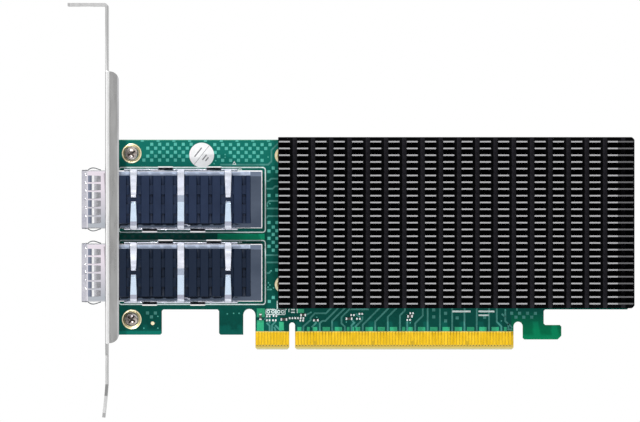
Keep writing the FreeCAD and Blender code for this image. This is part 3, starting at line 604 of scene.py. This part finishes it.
screen_white = new_finish("screen_print", ((0.62, 0.78, 0.76), (0.82, 0.93, 0.92), 0.8), 0.6)
front_ink = on_front(0.0, 0.045)
back_ink = on_back(0.0, 0.045)
cage_outlines = ((38.5, 59.8), (14.8, 35.8))
ink = bmesh.new()
for z_span in cage_outlines:
    track(ink, rounded((-56.9, -8.8), z_span, 0.9), 0.36, front_ink)
for x, z in ((-19.0, 61.2), (-17.1, 59.4), (-17.1, 35.5)):
    corners = [(x - 0.5, z - 0.4), (x + 0.5, z - 0.4), (x, z + 0.5), (x - 0.5, z - 0.4)]
    track(ink, corners, 0.2, front_ink)
for x_span in ((-8.6, -5.5), (-5.2, -2.3)):
    track(ink, rounded(x_span, (11.5, 13.2), 0.3), 0.25, front_ink)
    for x in (x_span[0] + 0.8, x_span[1] - 0.8):
        track(ink, circle(x, 12.4, 0.45), 0.3, front_ink)
track(ink, [(-4.9, 16.0), (-4.9, 13.2), (-1.7, 13.2)], 0.3, front_ink)
for x_span, z_span in (((-1.2, -0.9), (12.3, 13.3)), ((1.5, 1.8), (12.0, 13.3)), ((-0.4, 0.9), (12.0, 12.4)),
                       ((-0.4, 0.9), (12.9, 13.3)), ((52.6, 58.6), (12.2, 12.8)),
                       ((61.2, 66.4), (12.2, 12.8)), ((61.2, 64.6), (11.0, 11.5))):
    box(ink, x_span, front_ink, z_span)
for z_span in cage_outlines:
    track(ink, rounded((-56.0, -8.8), z_span, 0.9), 0.25, back_ink)
track(ink, rounded((26.0, 66.0), (21.0, 61.0), 1.2), 0.25, back_ink)
for x, z, width in ((72.0, 63.5, 9.0), (72.0, 61.8, 6.0), (-4.0, 57.0, 5.0), (-4.0, 55.6, 3.5),
                    (6.0, 13.4, 4.0)):
    box(ink, (x, x + width), back_ink, about(z, 0.8))
for x in back_lane_starts:
    for side in (-0.55, 0.55):
        box(ink, about(x + side, 0.15), back_ink, (9.0, 10.2))
piece("screen_print", ink, screen_white, "circuit_board")

# Edge contacts: hard gold over nickel on copper, one finger a millimetre on each face, and
# thin tie bars below them that carried the plating current. Some fingers end short.
hard_gold = new_finish("hard_gold", ((0.76, 0.46, 0.012), (0.88, 0.56, 0.03), 1.4, (1, 1, 3)),
                       (0.2, 0.4, 0.5, (0.4, 1, 8)), 1.0, (0.003, 0.25, (0.4, 1, 12)))
# Painted highlight along the contacts' top edge.
cover(hard_gold, (0.95, 0.7, 0.16), z=(5.65, 5.9))
contact_width = 0.72
contact_top = 5.85
contact_bottom = 1.5
short_contact_bottom = 2.8
first_contact = 1.5
fingers = [-first_contact - step for step in range(11)] + [first_contact + step for step in range(71)]
short_fingers = [first_contact + step for step in (6, 25, 38, 56)]
full_fingers = [x for x in fingers if x not in short_fingers]
for face, heights in (("front", on_front), ("back", on_back)):
    for ending, xs, bottom, nodes in (("_fingers", full_fingers, contact_bottom, ["edge_contacts_" + face]),
                                      ("_short", short_fingers, short_contact_bottom, [])):
        stamped("edge_contacts_" + face + ending, [(x, (bottom + contact_top) / 2) for x in xs],
                (contact_width, contact_top - bottom), heights(0, 0.05), hard_gold, "gold_plating", *nodes)
    stamped("tie_bars_" + face, [(x, 1.35) for x in fingers], (0.25, 0.32), heights(-0.01, 0.03),
            dark_mask_and_shade, "gold_plating")


# Controller: a flip chip under a stepped nickel lid on its own green substrate, and a soft
# grey pad that carries its heat up to the heat sink.
def welded(node):
    """A copy of the frame's solid as a bmesh in metres, with its corners joined."""
    shape = bmesh.new()
    shape.from_mesh(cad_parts[node].data)
    bmesh.ops.remove_doubles(shape, verts=shape.verts, dist=0.002 * mm)
    return shape


def softened(node, finish, slot, width):
    """A copy of the frame's solid with its edges broken, in place of the sharp one."""
    shape = welded(node)
    bmesh.ops.join_triangles(shape, faces=shape.faces, angle_face_threshold=math.radians(1),
                             angle_shape_threshold=math.radians(180))
    name = node + "_finished"
    made = placed(name, meshed(name, shape), finish, slot, node)
    bevel = made.modifiers.new("broken_edges", "BEVEL")
    bevel.width = width * mm
    bevel.segments = 2
    bevel.limit_method = "ANGLE"
    bevel.angle_limit = math.radians(30)
    bevel.miter_outer = "MITER_ARC"
    bevel.harden_normals = True
    return made


lid_metal = new_finish("lid_nickel", ((0.48, 0.47, 0.45), (0.6, 0.59, 0.57), 6), (0.28, 0.45, 1.5), 1.0)
softened("controller_lid", lid_metal, "lid_metal", 0.12)
substrate_green = new_finish("substrate_green", ((0.008, 0.07, 0.04), (0.015, 0.11, 0.065), 4), 0.4)
dress("controller_substrate", substrate_green)
pad_grey = new_finish("pad_putty", ((0.24, 0.24, 0.26), (0.36, 0.36, 0.38), 3), 0.85, bumps=(0.05, 0.8))
dress("thermal_pad", pad_grey)

# Supply and memory parts: pressed-powder inductors, moulded chips with tinned ends, and
# brown ceramic capacitors with metal caps, all soldered flat on the board.
moulding = new_finish("chip_moulding", ((0.013, 0.013, 0.014), (0.028, 0.028, 0.03), 1.2),
                      (0.42, 0.62, 0.4), bumps=(0.01, 0.12))
powder = new_finish("pressed_powder", ((0.04, 0.04, 0.044), (0.085, 0.085, 0.09), 0.4), 0.65,
                    bumps=(0.03, 0.2))
ceramic = new_finish("ceramic_brown", ((0.21, 0.14, 0.09), (0.34, 0.24, 0.16), 0.8), 0.45)
for finish, slot, nodes in ((powder, "inductor_body", ["power_inductors"]),
                            (moulding, "chip_plastic", ["voltage_regulators", "memory_chip", "manager_chip"]),
                            (lid_metal, "lid_metal", ["clock_oscillator"]),
                            (ceramic, "capacitor_ceramic",
                             ["bulk_capacitors", "lane_capacitors", "back_capacitors"])):
    for node in nodes:
        softened(node, finish, slot, 0.06)


def islands(node):
    """The box of each separate solid of a node, in millimetres."""
    shape = welded(node)
    left = set(shape.verts)
    boxes = []
    while left:
        group = [left.pop()]
        for vertex in group:
            for edge in vertex.link_edges:
                other = edge.other_vert(vertex)
                if other in left:
                    left.remove(other)
                    group.append(other)
        boxes.append([(min(v.co[axis] for v in group) / mm, max(v.co[axis] for v in group) / mm)
                      for axis in range(3)])
    shape.free()
    return sorted(boxes)


skin = 0.03
tuck = 0.04
end_caps = bmesh.new()
# Tinned ends: the axis they lie across, how far they reach in, and how much of the height
for node, long_axis, cap, rise in (("bulk_capacitors", 0, 0.55, 1.0), ("back_capacitors", 0, 0.35, 1.0),
                                   ("lane_capacitors", 2, 0.22, 1.0), ("power_inductors", 0, 1.1, 0.5),
                                   ("voltage_regulators", 2, 0.6, 0.5)):
    for spans in islands(node):
        low, high = spans[1]
        tall = (high - low) * rise
        y_span = (high - tall - skin, high) if low < 0 else (low, low + tall + skin)
        across = (spans[2 - long_axis][0] - skin, spans[2 - long_axis][1] + skin)
        for end in (0, 1):
            edge = spans[long_axis][end]
            inwards = sorted((edge + (tuck if end else -tuck), edge + (-cap if end else cap)))
            x_span, z_span = (inwards, across) if long_axis == 0 else (across, inwards)
            box(end_caps, x_span, y_span, z_span)
piece("tinned_ends", end_caps, solder, "screw_steel")


# Main heat sink: an aluminium extrusion cross-cut into short fins, then black anodised. The
# last saw cut left the fin tips bare, and the fins of the last column are a little lower.
def extent(node):
    """The lowest and the highest corner of a node's box, in millimetres."""
    return [[value / mm for value in corner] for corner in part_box(node)]


low, high = extent("main_heatsink")
sink_face = low[1]
base_face = high[1]
base_top = base_face - 3.0
row_pitch = 2.211
fin_thickness = 0.48
fin_rows = 25
column_pitch = 5.983
fin_length = 3.57
fin_columns = 18
first_fin = low[0] + 0.3
step_down = 1.1
black_anodised = new_finish("black_anodised", ((0.002, 0.002, 0.0025), (0.004, 0.004, 0.005), 3),
                            (0.45, 0.65, 0.6, (8, 1, 1)), Specular_IOR_Level=0.02)
sink_tree = black_anodised.node_tree
# Painted light: a lit strip on the base's floor in each channel across the fins.
from_first = maths(sink_tree, "SUBTRACT", along(black_anodised, "x"), first_fin * mm)
column_phase = maths(sink_tree, "FRACT", maths(sink_tree, "DIVIDE", from_first, column_pitch * mm))
channel_painted_light = maths(sink_tree, "COMPARE", column_phase, 0.87, 0.115)
cover(black_anodised, (0.022, 0.021, 0.026), channel_painted_light, y=about(base_top, 0.2))
# Bare fin tips; those of the lowered fins are painted darker as shade.
for depth, bare in ((sink_face, (0.4, 0.4, 0.41)), (sink_face + step_down, (0.13, 0.13, 0.135))):
    cover(black_anodised, bare, facing(black_anodised, "y"), y=about(depth, 0.2))
rows = [(low[2] + high[2]) / 2 + row_pitch * (row - (fin_rows - 1) / 2) for row in range(fin_rows)]
columns = [first_fin + fin_length / 2 + column_pitch * column for column in range(fin_columns)]
last_fin = first_fin + column_pitch * fin_columns
step_start = last_fin + 3.3
step_end = high[0] - 0.5
for name, xs, length, drop in (
        ("fins", columns, fin_length, 0.0),
        ("last_fins", [(last_fin + step_start) / 2], step_start - last_fin, 0.0),
        ("lowered_fins", [(step_start + step_end) / 2], step_end - step_start, step_down)):
    stamped(name, [(x, z) for z in rows for x in xs], (length, fin_thickness), (sink_face + drop, base_top),
            black_anodised, "black_aluminium", "main_heatsink")
plate = bmesh.new()
box(plate, (low[0], high[0]), (base_top, base_face), (low[2], high[2]))
corners = [edge for edge in plate.edges if edge.verts[0].co.x > 0 and edge.verts[1].co.x > 0
           and edge.verts[0].co.y != edge.verts[1].co.y]
bmesh.ops.bevel(plate, geom=corners, offset=0.8, segments=1, affect="EDGES")
bmesh.ops.bevel(plate, geom=plate.edges[:], offset=0.12, segments=2, affect="EDGES")
piece("sink_base", plate, black_anodised, "black_aluminium", "main_heatsink")


# Spacers and screws of the main heat sink: brass tubes between it and the board, and pan
# screws from the back with a washer under each head. Plated rings surround the holes.
def turned(shape, profile, x, z, sides=32, closed=False):
    """Turn (radius, y) points round an axis that crosses the board."""
    rings = []
    for radius, y in profile:
        step = 2 * math.pi / sides
        ring = [(x + radius * math.cos(step * side), y, z + radius * math.sin(step * side))
                for side in range(sides)]
        rings.append([shape.verts.new(point) for point in (ring if radius else [(x, y, z)])])
    pairs = list(zip(rings, rings[1:]))
    if closed:
        pairs.append((rings[-1], rings[0]))
    for first, second in pairs:
        for side in range(sides):
            corners = [first[side % len(first)], first[(side + 1) % len(first)],
                       second[(side + 1) % len(second)], second[side % len(second)]]
            shape.faces.new(dict.fromkeys(corners))


def carved(blank, cutters, name):
    """The blank with the cutters taken out of it. Both are bmeshes in millimetres."""
    made = []
    for shape in (blank, cutters):
        bmesh.ops.recalc_face_normals(shape, faces=shape.faces)
        made.append(linked(name, meshed(name, shape)))
    cut = made[0].modifiers.new("cut", "BOOLEAN")
    cut.operation = "DIFFERENCE"
    cut.object = made[1]
    cut.solver = "EXACT"
    graph = bpy.context.evaluated_depsgraph_get()
    shape = bmesh.new()
    shape.from_mesh(bpy.data.meshes.new_from_object(made[0].evaluated_get(graph)))
    for item in made:
        bpy.data.objects.remove(item)
    return shape


def cross_recess(shape, x, z, mouth, bottom, length, width, angle):
    """Cutter for a cross recess whose arms get shorter from its mouth to its bottom."""
    spin = Matrix.Rotation(math.radians(angle), 3, "Y")
    rings = []
    for y, half in ((mouth, length / 2), (bottom, length / 4)):
        arm = width / 2
        quarter = [(half, -arm), (half, arm), (arm, arm)]
        outline = [(across * turn[0] - up * turn[1], across * turn[1] + up * turn[0])
                   for turn in ((1, 0), (0, 1), (-1, 0), (0, -1)) for across, up in quarter]
        rings.append([shape.verts.new(spin @ Vector((across, 0, up)) + Vector((x, y, z)))
                      for across, up in outline])
    tube(shape, rings)


def paint_recess_shade(made, places, crown, finish):
    """Give the inside of the screws' recesses a darker finish, as painted shade."""
    made.data.materials.append(finish)
    for face in made.data.polygons:
        x, y, z = face.center / mm
        near = min(math.hypot(x - place[0], z - place[1]) for place in places)
        deep = y * crown > 0 and 1.3 < abs(y) < abs(crown) - 0.06 and near < 1.95
        if deep and (abs(face.normal.y) < 0.5 or (near < 1.0 and abs(y) < abs(crown) - 0.8)):
            face.material_index = 1


def axes_of(node):
    """Where the axis of each solid of a node crosses the board, as (x, z)."""
    return [(sum(spans[0]) / 2, sum(spans[2]) / 2) for spans in islands(node)]


fixing_places = axes_of("heatsink_spacers")
spacer_brass = new_finish("spacer_brass", ((0.62, 0.42, 0.16), (0.8, 0.57, 0.25), 1.5),
                          (0.2, 0.4, 0.3, (1, 8, 1)), 1.0)
tubes = bmesh.new()
for x, z in fixing_places:
    turned(tubes, [(1.05, front_face), (1.85, front_face), (2.0, front_face - 0.15), (2.0, base_face + 0.15),
                   (1.85, base_face), (1.05, base_face)], x, z, closed=True)
piece("spacer_tubes", tubes, spacer_brass, "spacer_brass", "heatsink_spacers")

ring_gold = new_finish("ring_gold", ((0.86, 0.72, 0.4), (0.95, 0.9, 0.68), 0.8), 0.3, 1.0)
rings = bmesh.new()
for x, z in fixing_places:
    for low, high in (on_front(-0.01, 0.05), on_back(-0.01, 0.05)):
        turned(rings, [(1.35, low), (2.8, low), (2.8, high), (1.35, high)], x, z, sides=48, closed=True)
piece("fixing_rings", rings, ring_gold, "gold_plating")
stamped("placing_mark", [(-45.8, 8.6)], (1.2, 1.2), on_front(-0.01, 0.04), ring_gold, "gold_plating",
        is_round=True)

screw_steel = new_finish("screw_nickel", ((0.52, 0.47, 0.42), (0.72, 0.67, 0.62), 0.8), (0.18, 0.36, 0.3),
                         1.0, (0.006, 0.4))
heads = bmesh.new()
recesses = bmesh.new()
pan_top = back_face + 1.5
washer_top = back_face + 0.3
tip = front_face - 2.5
for place, (x, z) in enumerate(fixing_places):
    turned(heads, [(0, pan_top), (0.9, pan_top - 0.04), (1.6, pan_top - 0.25), (2.0, pan_top - 0.65),
                   (2.1, pan_top - 1.05), (2.1, washer_top), (1.0, washer_top), (1.0, tip + 0.1), (0.8, tip),
                   (0, tip)], x, z)
    cross_recess(recesses, x, z, pan_top + 0.5, pan_top - 0.9, 3.2, 0.55, 20 + 37 * place)
pan_screws = carved(heads, recesses, "pan_screws")
for x, z in fixing_places:
    turned(pan_screws, [(1.1, back_face), (2.1, back_face), (2.1, washer_top), (1.1, washer_top)], x, z,
           sides=40, closed=True)
# Painted shade for the insides of the recesses.
recess_shade = new_finish("screw_recess_painted_shade", ((0.04, 0.03, 0.028), (0.13, 0.11, 0.1), 0.4), 0.5, 0.6)
made = piece("pan_screws", pan_screws, screw_steel, "screw_steel", "heatsink_screws", smooth=50)
paint_recess_shade(made, fixing_places, pan_top, recess_shade)

# Port connectors: black moulded blocks, each with a slot for the transceiver's card and two
# rows of sprung contacts in it. The contacts' gold noses show in the slot.
port_plastic = new_finish("port_plastic", ((0.015, 0.015, 0.016), (0.03, 0.03, 0.032), 2), 0.42,
                          bumps=(0.01, 0.2))
slot_middle = front_face - 4.3
slot_half = 0.75
spring_pitch = 1.28
port_springs = bmesh.new()
for side in ("lower", "upper"):
    softened("port_connector_" + side, port_plastic, "connector_plastic", 0.15)
    low, high = extent("port_connector_" + side)
    for step in range(10):
        z = (low[2] + high[2]) / 2 + (step - 4.5) * spring_pitch
        for wall, towards in ((slot_middle - slot_half, 1), (slot_middle + slot_half, -1)):
            for start, end, rise in ((0.3, 1.6, 0.42), (1.6, 5.0, 0.2)):
                box(port_springs, (low[0] + start, low[0] + end), sorted((wall, wall + towards * rise)),
                    about(z, 0.45))
piece("port_contact_springs", port_springs, hard_gold, "gold_plating")

# Cages: nickel-plated sheet folded into boxes and pressed into the board with pins. The sheet mirrors the
# room, and its colour is painted a dark slate-blue as a dark reflection; its folds and edges carry painted
# highlights.
cage_sheet = new_finish("cage_nickel", ((0.068, 0.088, 0.128), (0.105, 0.13, 0.18), 9, (2, 1, 1)),
                        (0.05, 0.1, 2), 1.0, (0.012, 16, (1, 1, 1), 1.0))
cage_middles = (25.28, 49.28)
nose = (-70, -60.5)
# The nose is light, and darker towards the bottom.
cover(cage_sheet, (0.9, 0.82, 0.9), x=nose)
for middle in cage_middles:
    cover(cage_sheet, (0.5, 0.53, 0.58), fade(cage_sheet, "z", middle + 4, middle - 8), x=nose,
          z=(middle - 9.6, middle + 4))
# Painted highlight: every face that doesn't look along Y, folds and edges among them, is lighter.
cover(cage_sheet, (0.75, 0.76, 0.8), rest(cage_sheet, facing(cage_sheet, "y")))
# lit_edge is a painted highlight along the cages' edges and rear fold. The strips beside the heat sinks are
# painted reflection: light slate-blue, dark at their rear end, and less metallic.
lit_edge = (0.97, 0.97, 1.0)
strips = []
for middle in cage_middles:
    strip = (middle + 7.6, middle + 9.2)
    strips.append(zone(cage_sheet, x=(-60, -10), z=strip))
    cover(cage_sheet, (0.6, 0.7, 0.9), x=(-60, -13.7), z=strip)
    cover(cage_sheet, (0.15, 0.19, 0.27), x=(-13.7, -10), z=strip)
    cover(cage_sheet, lit_edge, x=(-60, -9), z=(middle + 9.1, middle + 9.6))
    cover(cage_sheet, lit_edge, x=(-60, -9), z=(middle - 9.6, middle - 9.25))
cover(cage_sheet, lit_edge, x=(-10.05, -9.6))
vary(cage_sheet, "Metallic", maths(cage_sheet.node_tree, "MAXIMUM", *strips), 1.0, 0.25)
cage_pins = bmesh.new()
for side in ("lower", "upper"):
    softened("cage_" + side, cage_sheet, "cage_steel", 0.14)
    low, high = extent("cage_" + side)
    for step in range(9):
        for wall in (-9.3, 9.3):
            box(cage_pins, about(-54.5 + step * 5.2, 0.7), (front_face, back_face + 0.9),
                about((low[2] + high[2]) / 2 + wall, 0.35))
piece("cage_pins", cage_pins, solder, "cage_steel")

# Spring collars: thin stainless round the mouth of each cage, a band with arched fingers on
# all four faces that press on the edges of the bracket's window.
collar_spring = new_finish("collar_stainless", ((0.5, 0.5, 0.57), (0.64, 0.63, 0.68), 3),
                           (0.14, 0.28, 0.8), 1.0)
# Painted light and shade along the fingers: a dark rising flank, a white crest, a grey far slope and a light
# front edge of the band.
for colour, x_span in (((0.26, 0.29, 0.38), (-66.9, -65.65)), ((1.0, 1.0, 1.0), (-65.6, -64.95)),
                       ((0.72, 0.72, 0.77), (-64.95, -62.9)), ((0.8, 0.78, 0.84), (-67.3, -66.95))):
    cover(collar_spring, colour, x=x_span)
# Painted shade: the collars' top and bottom sides are dark.
for middle in cage_middles:
    for low, high in ((-10.8, -9.57), (9.57, 10.8)):
        cover(collar_spring, (0.1, 0.11, 0.12), z=(middle + low, middle + high))
cage_depth = 9.4
cage_breadth = 19.0
collar_start = -68.9
band_length = 2.0
collar_sheet = 0.15
finger_length = 4.3
finger_rise = 0.98
finger_pitch = 2.7


def finger(shape, reach_out, offset, sheet, steps=12):
    """An arched finger on the face that looks along -Y."""
    rings = []
    for step in range(steps + 1):
        part = step / steps
        height = (finger_rise - sheet) * math.sin(math.pi * part ** 0.76) ** 1.3
        half = 1.1 - 0.15 * part ** 2
        x = collar_start + band_length - 0.05 + (finger_length - 0.05) * part
        rings.append([shape.verts.new((x, -reach_out - height - rise, offset + edge * half))
                      for edge, rise in ((-1, 0), (1, 0), (1, sheet), (-1, sheet))])
    tube(shape, rings)


# Each side of a collar: its turn, its distance from the axis, half its width, its fingers
collar_sides = []
for turn in (0, 180):
    collar_sides.append((turn, cage_depth / 2, cage_breadth / 2, 6, collar_sheet))
    collar_sides.append((turn + 90, cage_breadth / 2, cage_depth / 2, 3, 2 * collar_sheet))
for side in ("lower", "upper"):
    low, high = extent("port_heatsink_" + side)
    axis = Vector((0, front_face - cage_depth / 2, (low[2] + high[2]) / 2))
    collar = bmesh.new()
    for turn, reach_out, half, count, sheet in collar_sides:
        start = len(collar.verts)
        skin_face = -reach_out - collar_sheet
        box(collar, (collar_start, collar_start + band_length), (skin_face, -reach_out),
            (-half + 0.2, half - 0.2))
        for step in range(count):
            offset = (step - (count - 1) / 2) * finger_pitch
            finger(collar, reach_out, offset, sheet)
            turned(collar, [(0.0, skin_face - 0.08), (0.3, skin_face - 0.05), (0.42, skin_face + 0.01),
                            (0, skin_face + 0.01)],
                   collar_start + 1.3, offset + finger_pitch / 2 - 0.02, sides=10)
        collar.verts.ensure_lookup_table()
        bmesh.ops.rotate(collar, cent=(0, 0, 0), matrix=Matrix.Rotation(math.radians(turn), 3, "X"),
                         verts=collar.verts[start:])
        bmesh.ops.translate(collar, vec=axis, verts=collar.verts[start:])
    piece("spring_collar_" + side + "_fingers", collar, collar_spring, "spring_steel",
          "spring_collar_" + side)

# Port heat sinks: navy anodised aluminium, with ribs across the cage. The clip's straps lie in the channels
# between the groups of ribs, and the lower one is coloured darker.
navy_anodised = new_finish("navy_anodised", ((0.009, 0.019, 0.049), (0.014, 0.027, 0.066), 7),
                           (0.34, 0.5, 1.5), bumps=(0.006, 0.5, (6, 1, 1)), Specular_IOR_Level=0.15)
cover(navy_anodised, (0.004, 0.012, 0.032), z=(15, 36))
for side in ("lower", "upper"):
    softened("port_heatsink_" + side, navy_anodised, "navy_aluminium", 0.16)

# Clips: bright stainless spring, bent from one blank so that two rails grip the cage and the
# straps press the heat sink down on to the transceiver. The cages' latches stand beside them.
clip_spring = new_finish("clip_stainless", ((0.66, 0.7, 0.82), (0.8, 0.82, 0.9), 5),
                         (0.12, 0.24, 1.2, (5, 1, 1)), 0.75, (0.003, 0.4, (8, 1, 1)))
# Painted light and shade on the straps: a dark centre on the middle strap, light blue on the lower arms, and
# darker bands towards the rails.
for middle in cage_middles:
    cover(clip_spring, (0.42, 0.48, 0.6), x=(-38, -35), z=(middle - 1.2, middle + 1.4))
    cover(clip_spring, (0.67, 0.8, 0.96), z=(middle - 7.2, middle - 0.8))
    cover(clip_spring, (0.4, 0.42, 0.52), z=(middle - 8.6, middle - 7.2))
    cover(clip_spring, (0.62, 0.65, 0.74), z=(middle + 7.2, middle + 8.6))
plain_lips = (-44.1, -28.7)
lead_in_places = {-1: (-46.6, -30.9), 1: (-41.4, -25.6)}
# Painted shade inside each lead-in lip, and a white, less metallic painted highlight along the lips' outer
# band.
lip_highlight = 0.0
for middle in cage_middles:
    for side, places in lead_in_places.items():
        throat = sorted((middle + side * 9.62, middle + side * 10.4))
        for x in places:
            cover(clip_spring, (0.06, 0.065, 0.08), x=about(x, 4.6), y=(-11.6, -10.25), z=throat)
        band = zone(clip_spring, z=sorted((middle + side * 10.4, middle + side * 10.95)))
        lip_highlight = maths(clip_spring.node_tree, "MAXIMUM", lip_highlight, band)
cover(clip_spring, (1.0, 1.0, 1.0), lip_highlight)
vary(clip_spring, "Metallic", lip_highlight, 0.75, 0.0)
for name, middle in zip(("heatsink_clip_lower", "heatsink_clip_upper"), cage_middles):
    made = softened(name, clip_spring, "spring_steel", 0.1)
    for vertex in made.data.vertices:
        x, y, z = vertex.co / mm
        if y < -10.2 and abs(z - middle) > 9.5:
            for plain, new in zip(plain_lips, lead_in_places[1 if z > middle else -1]):
                if abs(x - plain) < 3.1:
                    vertex.co.x = (new + (x - plain) * 0.88) * mm
latches = bmesh.new()
latch_slots = bmesh.new()
for middle in cage_middles:
    box(latch_slots, (-36.1, -34.7), (-10.21, -10.15), (middle - 8.35, middle - 7.75))
    box(latches, (-35.4, -34.2), (-10.5, -10.15), (middle - 8.45, middle - 8.15))
    box(latches, (-34.3, -33.4), (-10.4, -10.15), (middle - 8.75, middle - 8.45))
piece("cage_latches", latches, clip_spring, "spring_steel")
slot_shade = new_finish("slot_shade", ((0.007, 0.008, 0.01), (0.014, 0.015, 0.018), 1.0), 0.6)
piece("cage_latch_slots", latch_slots, slot_shade, "cage_steel")

# Bracket: nickel-plated steel sheet, sheared, pierced for the two ports and folded. It is screwed to the
# board through two ears. Its lip is painted darker as a darker reflection, with painted highlights and shade
# along the fold, the sheared edges and the tongue.
bracket_steel = new_finish("bracket_nickel", ((0.52, 0.52, 0.52), (0.61, 0.61, 0.61), 10),
                           (0.24, 0.4, 1.2, (1, 1, 8)), 1.0, (0.004, 0.35, (1, 1, 10)))
facing_front = facing(bracket_steel, "y")
lip = (2, 92)
fold = (2, 91.3)
fold_depth = (-15.2, -14)
# The lip's face is painted darker, as a darker reflection; a white painted highlight runs along the fold,
# with painted shade on its outer strip.
cover(bracket_steel, (0.3, 0.3, 0.298), facing_front, x=(-59.8, -55), z=lip)
cover(bracket_steel, (1.0, 1.0, 1.0), x=(-61.3, -59.9), y=fold_depth, z=fold)
cover(bracket_steel, (0.5, 0.5, 0.5), x=(-61.3, -60.98), y=fold_depth, z=fold)
sheared = maths(bracket_steel.node_tree, "MULTIPLY", facing_front,
                rest(bracket_steel, zone(bracket_steel, z=fold)))
cover(bracket_steel, (0.52, 0.52, 0.52), sheared)
# Painted shade across the sheared edges of the upright and the tongue.
cover(bracket_steel, (0.43, 0.43, 0.43), sheared, x=(-61.3, -60.4), z=(91.3, 112.8))
cover(bracket_steel, (0.31, 0.31, 0.31), sheared, x=(-60.45, -60), z=(91.3, 112.8))
cover(bracket_steel, (0.36, 0.36, 0.36), sheared, x=(-60.45, -60), z=(-16, 2))
vary(bracket_steel, "Metallic", sheared, 1.0, 0.3)
# A painted highlight along the lip's end, and a dark painted reflection across the tongue's face.
cover(bracket_steel, (0.42, 0.42, 0.43), x=(-57.2, -56.6), z=lip)
cover(bracket_steel, (0.22, 0.22, 0.22), facing_front, z=(-15.1, -11.3))
softened("bracket", bracket_steel, "bracket_steel", 0.16)

# Bracket screws: domed nickel heads with a cross recess, each on a plated ring round its
# hole. They go through the board into the bracket's ears.
dome_heads = bmesh.new()
dome_recesses = bmesh.new()
plated_rings = bmesh.new()
ring_hollows = bmesh.new()
crown = front_face - 1.6
under_head = front_face - 0.12
film = front_face + 0.01
ear_depth = 3.4
screw_places = axes_of("bracket_screws")
for place, (x, z) in enumerate(screw_places):
    turned(dome_heads, [(0, crown), (0.8, crown + 0.05), (1.4, crown + 0.22), (1.9, crown + 0.55),
                        (2.2, crown + 0.95), (2.3, crown + 1.25), (2.4, crown + 1.3), (2.4, under_head),
                        (1.5, under_head), (1.5, ear_depth - 0.3), (1.2, ear_depth), (0, ear_depth)],
           x, z, sides=40)
    cross_recess(dome_recesses, x, z, crown - 0.5, crown + 0.95, 3.8, 0.62, 35 + 22 * place)
    for shape, profile in (
            (plated_rings, [(2.85, film), (3.22, film), (3.22, front_face - 0.04), (3.15, front_face - 0.07),
                            (2.92, front_face - 0.07), (2.85, front_face - 0.04)]),
            (ring_hollows, [(1.7, film), (2.87, film), (2.87, front_face - 0.03), (2.4, front_face - 0.16),
                            (1.7, front_face - 0.16)]),
            (plated_rings, [(1.7, back_face - 0.01), (3.2, back_face - 0.01), (3.2, back_face + 0.04),
                            (1.7, back_face + 0.04)])):
        turned(shape, profile, x, z, sides=64, closed=True)
# The heads' colour swings in blotches from dark brown to near white: painted reflection.
dome_nickel = new_finish("dome_nickel", ((0.16, 0.11, 0.09), (0.98, 0.9, 0.84), 1.1), (0.14, 0.34, 0.3),
                         1.0, (0.02, 0.8))
domed = carved(dome_heads, dome_recesses, "domed_screws")
made = piece("domed_screws", domed, dome_nickel, "screw_steel", "bracket_screws", smooth=50)
paint_recess_shade(made, screw_places, crown, recess_shade)
piece("plated_rings", plated_rings, ring_gold, "gold_plating", "screw_pads")
# The hollow round each head is a darker gold: painted shade.
ring_hollow_shade = new_finish("ring_hollow_shade", ((0.4, 0.33, 0.14), (0.6, 0.52, 0.3), 0.6), 0.28, 1.0)
piece("ring_hollows", ring_hollows, ring_hollow_shade, "gold_plating")

# Status lights: clear lenses over green chips, at the board's edge behind the bracket. They
# are moulded, and soldered flat.
lens_clear = new_finish("light_lens", ((0.65, 0.8, 0.66), (0.85, 0.92, 0.84), 0.5), 0.15)
softened("status_lights", lens_clear, "light_lens", 0.08)

# Sticker: a round paper seal on the board between the upper cage and the edge, printed in
# grey ink with a slanting rule and bars.
seal_paper = new_finish("seal_paper", ((0.87, 0.87, 0.87), (0.93, 0.93, 0.93), 1.5), 0.55,
                        bumps=(0.004, 0.3))
low, high = extent("round_sticker")
seal_x = (low[0] + high[0]) / 2
seal_z = (low[2] + high[2]) / 2
seal_radius = (high[0] - low[0]) / 2
seal = bmesh.new()
turned(seal, [(0, front_face), (seal_radius, front_face), (seal_radius, front_face - 0.07),
              (seal_radius - 0.05, front_face - 0.1), (0, front_face - 0.1)], seal_x, seal_z, sides=96)
piece("paper_seal", seal, seal_paper, "sticker_paper", "round_sticker")
seal_ink = new_finish("seal_ink", ((0.12, 0.12, 0.13), (0.24, 0.24, 0.25), 0.4), 0.6)
bars = bmesh.new()
on_seal = on_front(0.095, 0.11)
slope = Vector((0.62, 0.78))
across = Vector((slope.y, -slope.x))
for offset, half, width in ((0.0, 4.0, 0.14), (-1.5, 1.9, 0.4), (1.2, 1.1, 0.4), (2.2, 0.8, 0.4)):
    ends = (across * offset - slope * half, across * offset + slope * half)
    track(bars, [(seal_x + end.x, seal_z + end.y) for end in ends], width, on_seal)
piece("seal_bars", bars, seal_ink, "sticker_paper")
